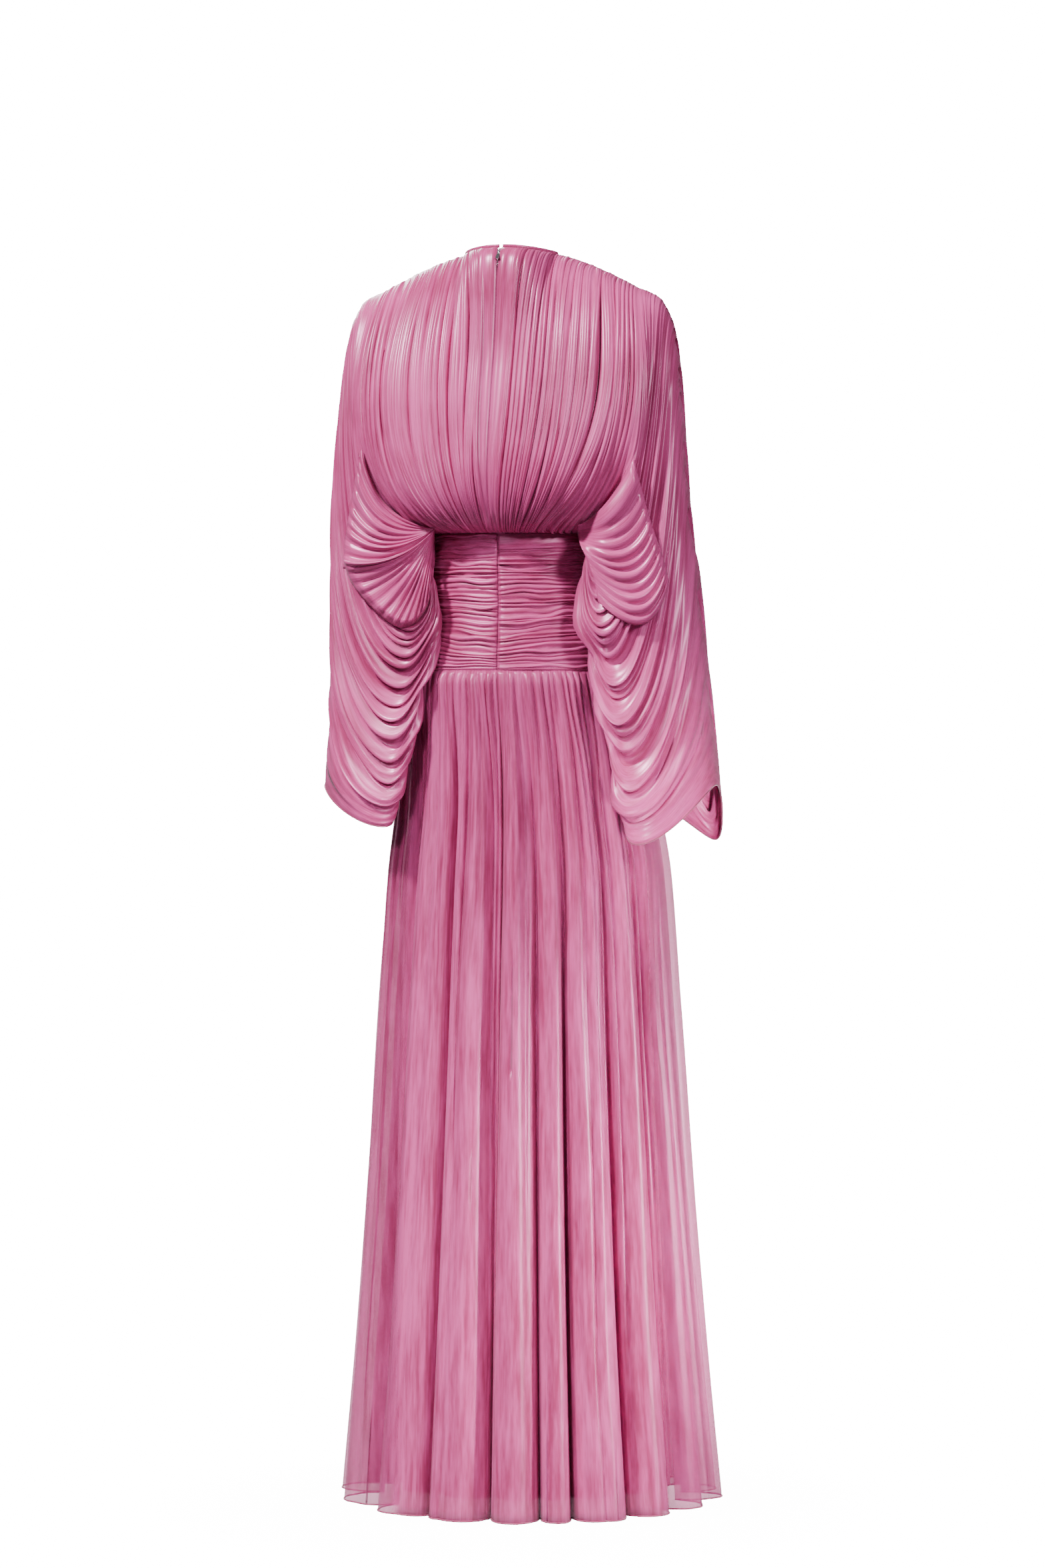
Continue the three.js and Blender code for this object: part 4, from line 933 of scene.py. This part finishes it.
class DRESS_OT_corner(bpy.types.Operator):
    """Makes the folds and the twisted band that run out of the waist's corners"""
    bl_idname = "dress.corner"
    bl_label = "Corner folds"

    def execute(self, context):
        under = {hand: [bpy.data.objects[name] for name in (
            f"sleeve_{hand}_draped", f"bodice_back_{hand}_pleated", f"waistband_back_{hand}_ruched",
        )] for hand in ("left", "right")}
        for hand, part, rows, pleats, swell, relief, seed, flat in (
            ("left", "corner_swags", CORNER_SWAGS, 9, 3, 5.5, 5, (0.12, 0.11)),
            ("left", "twist", TWISTED_BAND, 16, 11, 4.4, 7, (0.14, 0.11)),
            ("right", "corner_swags", RIGHT_SWAGS, 10, 3, 5.5, 9, (0.15, 0.12)),
        ):
            grid = make_fan(rows, pleats, swell, relief, seed, under[hand])
            piece = cloth_piece(f"sleeve_{hand}_{part}", *grid, cloth_material("silk_chiffon"))
            dress_piece(piece, "chiffon")
            under[hand].append(piece)
        return {"FINISHED"}


def band_grid(turns, seed, plain_top=False):
    depth = bpy.context.scene.dress_cloth.tuck_depth / MM
    f, index, share, width = fold_places(fold_edges(BAND_TUCKS, seed, 0.55), PLAIN_STEPS)
    turns = turns[:, None]
    degrees = np.degrees(turns)
    back = np.clip(np.cos(turns), 0, 1)
    wander = 0.5 * width * drift_over(degrees / 14, index * 0.7, seed + 1) \
        * smooth(0, 0.03, f) * fall(0.97, 1, f)
    at = np.clip(f + wander, 0, 1)
    dip = BAND_DIP * smooth(0.25, 0.8, at) * fall(0.8, 1, at) * back ** 9
    seam = 1 - np.exp(-(degrees / SEAM_DEGREES) ** 2) \
        - np.exp(-((degrees - 360) / SEAM_DEGREES) ** 2)
    tall = mix(0.4, 1.3, uneven(index, seed + 2)) \
        * (1 + 0.5 * drift_over(degrees / 11, index * 1.3, seed + 3))
    if plain_top:
        tall = tall * mix(0.15, 1, smooth(0.05, 0.1, f))
    raised = depth * crown(share, 0.55) * tall * mix(0.3, 1, np.clip(seam, 0, 1)) \
        * smooth(0, 0.01, f) * fall(0.99, 1, f)
    z = mix(WAIST["z"], BAND_FOOT_Z, at) - dip
    points = body_point(z, turns * np.ones_like(z), raised)
    outward = vector(-np.sin(turns), np.cos(turns), 0) * np.ones((1, len(f), 1))
    uv = uv_grid(f[None, :] * 0.17, turns * 0.12)
    return points, uv, outward


class DRESS_OT_waistband(bpy.types.Operator):
    """Makes the ruched waistband"""
    bl_idname = "dress.waistband"
    bl_label = "Waistband"

    def execute(self, context):
        quarter = math.pi / 2
        for name, start, end, columns, seed, flat in (
            ("waistband_back_right", 0.002, quarter, 46, 71, (0.20, 0.22)),
            ("waistband_front", quarter, 3 * quarter, 68, 83, (0.40, 0.22)),
            ("waistband_back_left", 3 * quarter, 4 * quarter - 0.002, 46, 97, (0.20, 0.22)),
        ):
            turns = np.linspace(start, end, columns)
            grid = band_grid(turns, seed, plain_top=name.endswith("right"))
            piece = cloth_piece(name + "_ruched", *grid, cloth_material("waistband_chiffon"))
            dress_piece(piece, "chiffon", name)
        return {"FINISHED"}


def skirt_grid(start, end, count, rows, steps, seed):
    """A chiffon skirt panel from one angle to another, in degrees."""
    depth = bpy.context.scene.dress_cloth.gather_depth / MM
    place, index, share, width = fold_places(fold_edges(count, seed, 0.5), steps)
    degrees = mix(start, end, place)[:, None]
    index, share, width = index[:, None], share[:, None], width[:, None] * abs(end - start)
    level = (np.linspace(0, 1, rows) ** 1.15)[None, :]
    at = np.radians(degrees + 0.22 * width * drift_over(index * 0.9, level * 5, seed + 1)
                    * smooth(0, 0.05, level) * (place * (1 - place) * 8).clip(0, 1)[:, None])
    fine = crown(share, 0.7) * mix(0.5, 1.4, uneven(index, seed + 2)) \
        * (1 + 0.3 * drift_over(index * 1.9, level * 6, seed + 3))
    pair = crown((np.mod(index, 2) + share) / 2, 0.9) * mix(0.4, 1.4, uneven(index // 2, seed + 4))
    fade = mix(0.16, 1, 1 - smooth(0.02, 0.5, level))
    raised = depth * fine * smooth(0, 0.012, level) * fade \
        + GATHER_PAIR * pair * smooth(0.02, 0.2, level) * (1 - 0.55 * smooth(0.4, 0.95, level)) \
        + 1.6 * drift_over(degrees / 5, level * 5, seed + 5) * smooth(0.05, 0.3, level) \
        * (place * (1 - place) * 20).clip(0, 1)[:, None]
    flute_share, flute_width, _ = flute_at(np.radians(degrees))
    from_valley = np.minimum(flute_share, 1 - flute_share) * flute_width
    raised = raised - mix(*VALLEY_DEPTH, level) * np.exp(-(from_valley / VALLEY_REACH) ** 2) \
        * smooth(0.05, 0.25, level)
    raised = raised - creases(SKIRT_CREASES, np.mod(degrees + 90, 360) - 90, level)
    at = at + 0 * level
    points = skirt_surface(level + 0 * at, at, SKIRT_HEM_Z,
                           raised=raised - 1.5 * smooth(0, 0.05, level))
    outward = vector(-np.sin(at), np.cos(at), 0)
    uv = uv_grid(degrees / 360 * 1.2, level)
    return points, uv, outward


class DRESS_OT_skirt(bpy.types.Operator):
    """Makes the gathered chiffon skirt panels"""
    bl_idname = "dress.skirt"
    bl_label = "Skirt"

    def execute(self, context):
        for name, start, end, count, rows, steps, seed, flat in (
            ("skirt_back_right", 0, 90, 22, 104, FINE_STEPS, 103, (0.45, 1.06)),
            ("skirt_front", 90, 270, 40, 72, PLAIN_STEPS, 113, (0.86, 1.06)),
            ("skirt_back_left", 270, 360, 22, 104, FINE_STEPS, 127, (0.42, 1.06)),
        ):
            points, uv, outward = skirt_grid(start, end, count, rows, steps, seed)
            piece = cloth_piece(name + "_gathered", points, uv, outward,
                                cloth_material("sheer_chiffon"))
            mark_single_layer(piece, points)
            dress_piece(piece, "chiffon", name)
            make_hem(name + "_hem", points[:, -1], piece)
        return {"FINISHED"}


class DRESS_OT_underskirt(bpy.types.Operator):
    """Makes the satin underskirt that shows through the chiffon"""
    bl_idname = "dress.underskirt"
    bl_label = "Underskirt"

    def execute(self, context):
        turns = np.linspace(0, 2 * math.pi, 210, endpoint=False)[:, None]
        degrees = np.degrees(turns)
        level = np.linspace(0, 1, 48)[None, :]
        ripples = 1.6 * drift_over(degrees / 6, level * 4, 5) * smooth(0.03, 0.3, level)
        rumple = 2.6 * drift_over(degrees / 3, level * 26, 9) \
            * np.exp(-((np.mod(degrees + 180, 360) - 180) / 7) ** 2) \
            * smooth(0.5, 0.6, level) * fall(0.72, 0.82, level)
        crumple = 2.2 * drift_over(degrees / 3, level * 40, 13) \
            * np.exp(-((degrees - 325) / 10) ** 2) * smooth(0.9, 0.97, level)
        inset = LINING["inset"] + LINING["side_inset"] * np.sin(turns - VIEW_TURN) ** 6 \
            * smooth(0.1, 1, level)
        points = skirt_surface(level + 0 * turns, turns + 0 * level,
                               UNDERSKIRT_HEM_Z - LINING["drop"], inset=inset,
                               flutes=LINING["flutes"], raised=ripples + rumple + crumple - 1.6)
        outward = vector(-np.sin(turns), np.cos(turns), 0) * np.ones((1, level.size, 1))
        uv = uv_grid(degrees / 360 * 1.2, level)
        piece = cloth_piece("underskirt_satin", points, uv, outward,
                            cloth_material("satin_lining"), closed=True)
        dress_piece(piece, "lining", "underskirt")
        make_hem("underskirt_hem", points[:, -1], piece, closed=True, slot="lining", share=0.8)
        return {"FINISHED"}


def path_tree(name, *sockets):
    """A tree that takes a path and the named values, with its inputs and the path as a curve."""
    tree = bpy.data.node_groups.new(name, "GeometryNodeTree")
    add = tree.interface.new_socket
    add(name="Geometry", in_out="OUTPUT", socket_type="NodeSocketGeometry")
    for entry, kind in (("Geometry", "Geometry"), *sockets, ("Material", "Material")):
        add(name=entry, in_out="INPUT", socket_type="NodeSocket" + kind)
    inputs = tree.nodes.new("NodeGroupInput")
    curve = tree.nodes.new("GeometryNodeMeshToCurve")
    join(tree, (inputs, "Geometry", curve, "Mesh"))
    return tree, inputs, curve


def finish_tree(tree, inputs, made, output):
    shade, real, paint, out = (tree.nodes.new(kind) for kind in (
        "GeometryNodeSetShadeSmooth", "GeometryNodeRealizeInstances", "GeometryNodeSetMaterial",
        "NodeGroupOutput"))
    join(tree, (made, output, shade, "Geometry"), (shade, "Geometry", real, "Geometry"),
         (real, "Geometry", paint, "Geometry"), (inputs, "Material", paint, "Material"),
         (paint, "Geometry", out, "Geometry"))
    return tree


def roll_tree(name):
    """A tube along a path."""
    tree, inputs, curve = path_tree(name, ("Radius", "Float"), ("Sides", "Int"))
    ring = tree.nodes.new("GeometryNodeCurvePrimitiveCircle")
    tube = add_node(tree, "GeometryNodeCurveToMesh", {"Fill Caps": True})
    join(tree, (inputs, "Sides", ring, "Resolution"), (inputs, "Radius", ring, "Radius"),
         (curve, "Curve", tube, "Curve"), (ring, "Curve", tube, "Profile Curve"))
    return finish_tree(tree, inputs, tube, "Mesh")


def row_tree(name):
    """Small rods in a row along a path, each lying along it or across it."""
    tree, inputs, curve = path_tree(
        name, ("Pitch", "Float"), ("Length", "Float"), ("Radius", "Float"), ("Sides", "Int"),
        ("Across", "Vector"), ("Tilt", "Float"))
    spaced = add_node(tree, "GeometryNodeResampleCurve", mode="LENGTH")
    rod = tree.nodes.new("GeometryNodeMeshCylinder")
    tangent = tree.nodes.new("GeometryNodeInputTangent")
    lying = add_node(tree, "ShaderNodeMix", data_type="VECTOR")
    align = add_node(tree, "FunctionNodeAlignRotationToVector", axis="Z")
    place = tree.nodes.new("GeometryNodeInstanceOnPoints")
    join(tree, (tangent, "Tangent", lying, "A"), (curve, "Curve", spaced, "Curve"),
         (inputs, "Pitch", spaced, "Length"),
         (inputs, "Sides", rod, "Vertices"), (inputs, "Radius", rod, "Radius"),
         (inputs, "Length", rod, "Depth"), (inputs, "Tilt", lying, "Factor"),
         (inputs, "Across", lying, "B"), (lying, "Result", align, "Vector"),
         (spaced, "Curve", place, "Points"), (rod, "Mesh", place, "Instance"),
         (align, "Rotation", place, "Rotation"))
    return finish_tree(tree, inputs, place, "Instances")


TREES = {"Rolled edge": roll_tree, "Row along a path": row_tree}


def along_path(name, path, kind, values, closed=False):
    """Runs a kind of tree along a path in millimetres and returns the plain piece it makes."""
    tree = bpy.data.node_groups.get(kind) or TREES[kind](kind)
    count = len(path)
    edges = [(i, i + 1) for i in range(count - 1)] + ([(count - 1, 0)] if closed else [])
    mesh = bpy.data.meshes.new(name + "_path")
    mesh.from_pydata([tuple(point) for point in np.asarray(path) * MM], edges, [])
    carrier = bpy.data.objects.new(name + "_path", mesh)
    bpy.context.scene.collection.objects.link(carrier)
    modifier = carrier.modifiers.new("Row", "NODES")
    modifier.node_group = tree
    for item in tree.interface.items_tree:
        if item.in_out == "INPUT" and item.name in values:
            modifier[item.identifier] = values[item.name]
    result = bpy.data.meshes.new_from_object(
        carrier.evaluated_get(bpy.context.evaluated_depsgraph_get()))
    bpy.data.objects.remove(carrier)
    bpy.data.meshes.remove(mesh)
    result.name = name
    piece = bpy.data.objects.new(name, result)
    bpy.context.scene.collection.objects.link(piece)
    if not result.polygons:
        raise RuntimeError(f"{name} came out empty")
    return piece


def make_hem(name, rim, cloth, closed=False, slot="chiffon", share=1.0):
    """A narrow rolled hem along the cloth's edge."""
    colours = bpy.context.scene.dress_colours
    material = kept_material("hem_thread", woven_thread, tuple(colours.chiffon_painted_shade))
    radius = bpy.context.scene.dress_trim.hem_radius * share
    piece = along_path(name, rim, "Rolled edge",
                       {"Radius": radius, "Sides": 8, "Material": material}, closed)
    return dress_piece(piece, slot)


def neckline_path(count, open_turn, out, up):
    turn = np.linspace(open_turn, 2 * math.pi - open_turn, count)
    centre_z = np.where(np.cos(turn) > 0, NECK["back_z"], NECK["front_z"])
    return vector(-(NECK["half_width"] + out) * np.sin(turn),
                  (NECK["half_depth"] + out) * np.cos(turn),
                  mix(NECK["side_z"], centre_z, np.cos(turn) ** 2) + up)


class DRESS_OT_neck_binding(bpy.types.Operator):
    """Makes the narrow binding of the neckline"""
    bl_idname = "dress.neck_binding"
    bl_label = "Neck binding"

    def execute(self, context):
        open_turn, count, sides = BINDING["open_turn"], BINDING["count"], BINDING["sides"]
        base = neckline_path(count, open_turn, 0, 0)
        turn = np.linspace(open_turn, 2 * math.pi - open_turn, count)
        ripple = BINDING["ripple"] * drift(turn * 60, 3)
        outward = vector(-np.sin(turn), np.cos(turn), 0)
        rings = []
        for angle in np.linspace(0, 2 * math.pi, sides, endpoint=False):
            out = BINDING["half_width"] * math.cos(angle)
            up = BINDING["rise"] + BINDING["half_height"] * math.sin(angle)
            rings.append(base + outward * (out + ripple * math.cos(angle))[:, None] + [0, 0, up])
        points = np.stack(rings, 1)
        points = np.concatenate([points, points[:, :1]], 1)
        uv = uv_grid(turn[:, None] * 0.06, np.linspace(0, 0.012, sides + 1)[None])
        facing = points - points[:, :-1].mean(1, keepdims=True)
        piece = cloth_piece("neck_binding_rolled", points, uv, facing,
                            cloth_material("silk_chiffon"), thickness=BINDING["thickness"])
        merge_doubles(piece)
        dress_piece(piece, "chiffon", "neck_binding")
        return {"FINISHED"}


def merge_doubles(piece):
    work = bmesh.new()
    work.from_mesh(piece.data)
    bmesh.ops.remove_doubles(work, verts=work.verts, dist=1e-6)
    work.to_mesh(piece.data)
    work.free()


def centre_back_path(x, depth, low=0.0, high=1.0):
    half = np.linspace(low * math.pi, high * math.pi, 90)
    surface = lambda a, h: bodice_surface(a, h, 1)
    across = np.zeros_like(half)
    outward, _, _ = surface_frame(surface, across, half, 1)
    path = surface(across, half) - outward * depth
    path[:, 0] = x
    return path


class DRESS_OT_zip(bpy.types.Operator):
    """Makes the zip's tape and teeth, and gives the slider and its tab their metal"""
    bl_idname = "dress.zip"
    bl_label = "Zip"

    def execute(self, context):
        scene = context.scene
        colours, trim = scene.dress_colours, scene.dress_trim
        silver = kept_material("polished_zip_metal", polished_metal, tuple(colours.silver))
        tape = kept_material("zip_tape_cloth", woven_thread, tuple(colours.lining))
        for node in ("zip_slider", "zip_pull"):
            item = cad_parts[node]
            item.data.materials.clear()
            item.data.materials.append(silver)
        upper = centre_back_path(0, 2.2)
        low = np.linspace(WAIST["z"] - 4, BAND_FOOT_Z + 12, 40)
        lower = body_point(low, np.zeros_like(low), np.full_like(low, -5.2))
        spine = np.concatenate([upper[:-1], lower])
        columns = np.stack([spine + [x, 0, 0] for x in TAPE_COLUMNS])
        uv = uv_grid(np.linspace(0, 0.02, len(TAPE_COLUMNS))[:, None],
                     np.linspace(0, 0.5, len(spine))[None])
        outward = np.broadcast_to([0.0, 1.0, 0.0], columns.shape)
        piece = cloth_piece("zip_tape_woven", columns, uv, outward, tape)
        dress_piece(piece, "tape", "zip_tape")
        for side in (-1, 1):
            teeth = along_path(
                f"zip_teeth_{'left' if side > 0 else 'right'}",
                centre_back_path(side * 0.95, 1.6, 0.01, 0.97), "Row along a path",
                {"Pitch": trim.tooth_pitch, "Length": TOOTH["length"], "Radius": TOOTH["radius"],
                 "Sides": trim.tooth_sides, "Across": (1, 0, 0), "Tilt": 1.0, "Material": silver})
            dress_piece(teeth, "silver")
        return {"FINISHED"}


class DRESS_OT_stitches(bpy.types.Operator):
    """Sews the seams of the waistband's foot and of the neckline"""
    bl_idname = "dress.stitches"
    bl_label = "Stitches"

    def execute(self, context):
        colours, trim = context.scene.dress_colours, context.scene.dress_trim
        thread = kept_material("sewing_thread", woven_thread, tuple(colours.chiffon_painted_shade))
        turn = np.linspace(0.01, 2 * math.pi - 0.01, 420)
        seams = {
            "stitches_waist_foot": body_point(
                np.full_like(turn, BAND_FOOT_Z + 3), turn, 1.1 + 0 * turn),
            "stitches_neck": neckline_path(300, 0.05, 1.2, 1.0),
        }
        values = {"Pitch": trim.stitch_pitch, "Length": trim.stitch_length,
                  "Radius": trim.stitch_radius, "Sides": 5, "Material": thread}
        for name, path in seams.items():
            dress_piece(along_path(name, path, "Row along a path", values), "chiffon")
        return {"FINISHED"}


def area_light(light, away, left):
    place = away * light["away"] + left * light["left"] + Vector((0, 0, light["up"]))
    data = bpy.data.lights.new(light["name"], "AREA")
    data.shape, data.size, data.energy = "DISK", light["size"], light["energy"]
    data.spread = math.radians(light["spread"])
    lamp = bpy.data.objects.new(light["name"], data)
    lamp.location = place
    lamp.rotation_euler = (Vector(light["target"]) - place).to_track_quat("-Z", "Y").to_euler()
    bpy.context.scene.collection.objects.link(lamp)


class DRESS_OT_stage(bpy.types.Operator):
    """Sets the camera, the floor and the studio light"""
    bl_idname = "dress.stage"
    bl_label = "Stage"

    def execute(self, context):
        scene = context.scene
        wide, high = CAMERA["frame_px"]
        data = bpy.data.cameras.new("camera")
        data.sensor_fit = "VERTICAL"
        data.angle = 2 * math.atan(high / 2 / CAMERA["focal_px"])
        data.shift_x = (wide / 2 - CAMERA["axis_px"]) / high
        data.shift_y = -(high / 2 - CAMERA["horizon_px"]) / high
        data.clip_end = 100
        camera = bpy.data.objects.new("camera", data)
        turn = math.radians(CAMERA["azimuth"])
        away = Vector((math.sin(turn), -math.cos(turn), 0))
        left = Vector((math.cos(turn), math.sin(turn), 0)) * -1
        camera.location = (math.sin(turn) * CAMERA["distance"],
                           -math.cos(turn) * CAMERA["distance"], CAMERA["height"])
        camera.rotation_euler = (math.pi / 2, 0, turn)
        scene.collection.objects.link(camera)
        scene.camera = camera

        floor_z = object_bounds()[0][2] - FLOOR["gap"]
        mesh = bpy.data.meshes.new("floor")
        ring = [(FLOOR["radius"] * math.cos(a), FLOOR["radius"] * math.sin(a), floor_z)
                for a in np.linspace(0, 2 * math.pi, FLOOR["corners"], endpoint=False)]
        mesh.from_pydata(ring, [], [tuple(range(FLOOR["corners"]))])
        floor = bpy.data.objects.new("floor", mesh)
        scene.collection.objects.link(floor)
        mesh.materials.append(floor_material(tuple(scene.dress_colours.floor)))
        floor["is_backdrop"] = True

        scene.world = studio_world()
        for light in LIGHTS:
            area_light(light, away, left)
        return {"FINISHED"}


def studio_world():
    """Plain soft light from all round, and a white backdrop that is softer through sheer cloth."""
    world = bpy.data.worlds.new("studio")
    world.use_nodes = True
    tree = world.node_tree
    backdrop = tree.nodes["Background"]
    tint = add_node(tree, "ShaderNodeMix", {6: (1, 1, 1, 1), 7: VEILED_TINT}, data_type="RGBA")
    veiled = add_node(tree, "ShaderNodeMath", {1: FLOOR_LAYERS + 0.5}, operation="GREATER_THAN")
    bright = add_node(tree, "ShaderNodeMapRange",
                      {"To Min": BACKDROP_BRIGHTNESS, "To Max": VEILED_BRIGHTNESS})
    ambient = add_node(tree, "ShaderNodeBackground", {"Color": (1, 1, 1, 1), "Strength": 0.13})
    seen = tree.nodes.new("ShaderNodeLightPath")
    both = tree.nodes.new("ShaderNodeMixShader")
    output = next(node for node in tree.nodes if node.type == "OUTPUT_WORLD")
    join(tree, (veiled, "Value", bright, "Value"), (bright, "Result", backdrop, "Strength"),
         (veiled, "Value", tint, "Factor"), (tint, 2, backdrop, "Color"),
         (seen, "Transparent Depth", veiled, 0), (seen, "Is Camera Ray", both, "Fac"),
         (ambient, "Background", both, 1), (backdrop, "Background", both, 2),
         (both, "Shader", output, "Surface"))
    return world


def floor_material(colour):
    """A pale floor that fades into the backdrop away from the dress."""
    material = mottled("studio_floor", colour, 0.985, "ShaderNodeTexNoise", {"Scale": 2.0},
                       {"Roughness": 0.12})
    tree = material.node_tree
    place = add_node(tree, "ShaderNodeTexCoord")
    flat = add_node(tree, "ShaderNodeVectorMath", {1: (1, 1, 0)}, operation="MULTIPLY")
    away = add_node(tree, "ShaderNodeVectorMath", operation="LENGTH")
    fade = add_node(tree, "ShaderNodeMapRange",
                    {"From Min": FLOOR_FADE[0], "From Max": FLOOR_FADE[1],
                     "To Min": FLOOR["alpha"], "To Max": 0.0}, interpolation_type="SMOOTHSTEP")
    join(tree, (place, "Object", flat, 0), (flat, "Vector", away, 0),
         (away, "Value", fade, "Value"), (fade, "Result", principled(tree), "Alpha"))
    return material


class DRESS_PT_panel(bpy.types.Panel):
    bl_label = "Pleated maxi dress"
    bl_idname = "DRESS_PT_panel"
    bl_space_type = "VIEW_3D"
    bl_region_type = "UI"
    bl_category = "Dress"

    def draw(self, context):
        layout = self.layout
        scene = context.scene
        for group in (scene.dress_cloth, scene.dress_trim, scene.dress_colours):
            box = layout.box()
            for key in group.bl_rna.properties.keys():
                if key not in ("rna_type", "name"):
                    box.prop(group, key)
        for operator in OPERATORS:
            layout.operator(operator.bl_idname)


PROPERTY_GROUPS = {
    "dress_cloth": ClothSizes, "dress_trim": TrimSizes, "dress_colours": DressColours,
}
OPERATORS = (
    DRESS_OT_bodice, DRESS_OT_sleeves, DRESS_OT_neck_binding, DRESS_OT_waistband, DRESS_OT_corner,
    DRESS_OT_skirt, DRESS_OT_underskirt, DRESS_OT_zip, DRESS_OT_stitches, DRESS_OT_stage,
)


def register():
    for name, group in PROPERTY_GROUPS.items():
        bpy.utils.register_class(group)
        setattr(bpy.types.Scene, name, PointerProperty(type=group))
    for operator in OPERATORS:
        bpy.utils.register_class(operator)
    bpy.utils.register_class(DRESS_PT_panel)


def unregister():
    bpy.utils.unregister_class(DRESS_PT_panel)
    for operator in reversed(OPERATORS):
        bpy.utils.unregister_class(operator)
    for name, group in PROPERTY_GROUPS.items():
        delattr(bpy.types.Scene, name)
        bpy.utils.unregister_class(group)


def plain(box):
    return [[float(value) for value in corner] for corner in box]


def main():
    cad_box = plain(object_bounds())
    register()
    for operator in OPERATORS:
        group, name = operator.bl_idname.split(".")
        getattr(getattr(bpy.ops, group), name)()
    {"cad": cad_box, "visual": plain(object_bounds())}


if __name__ == "__main__":
    main()
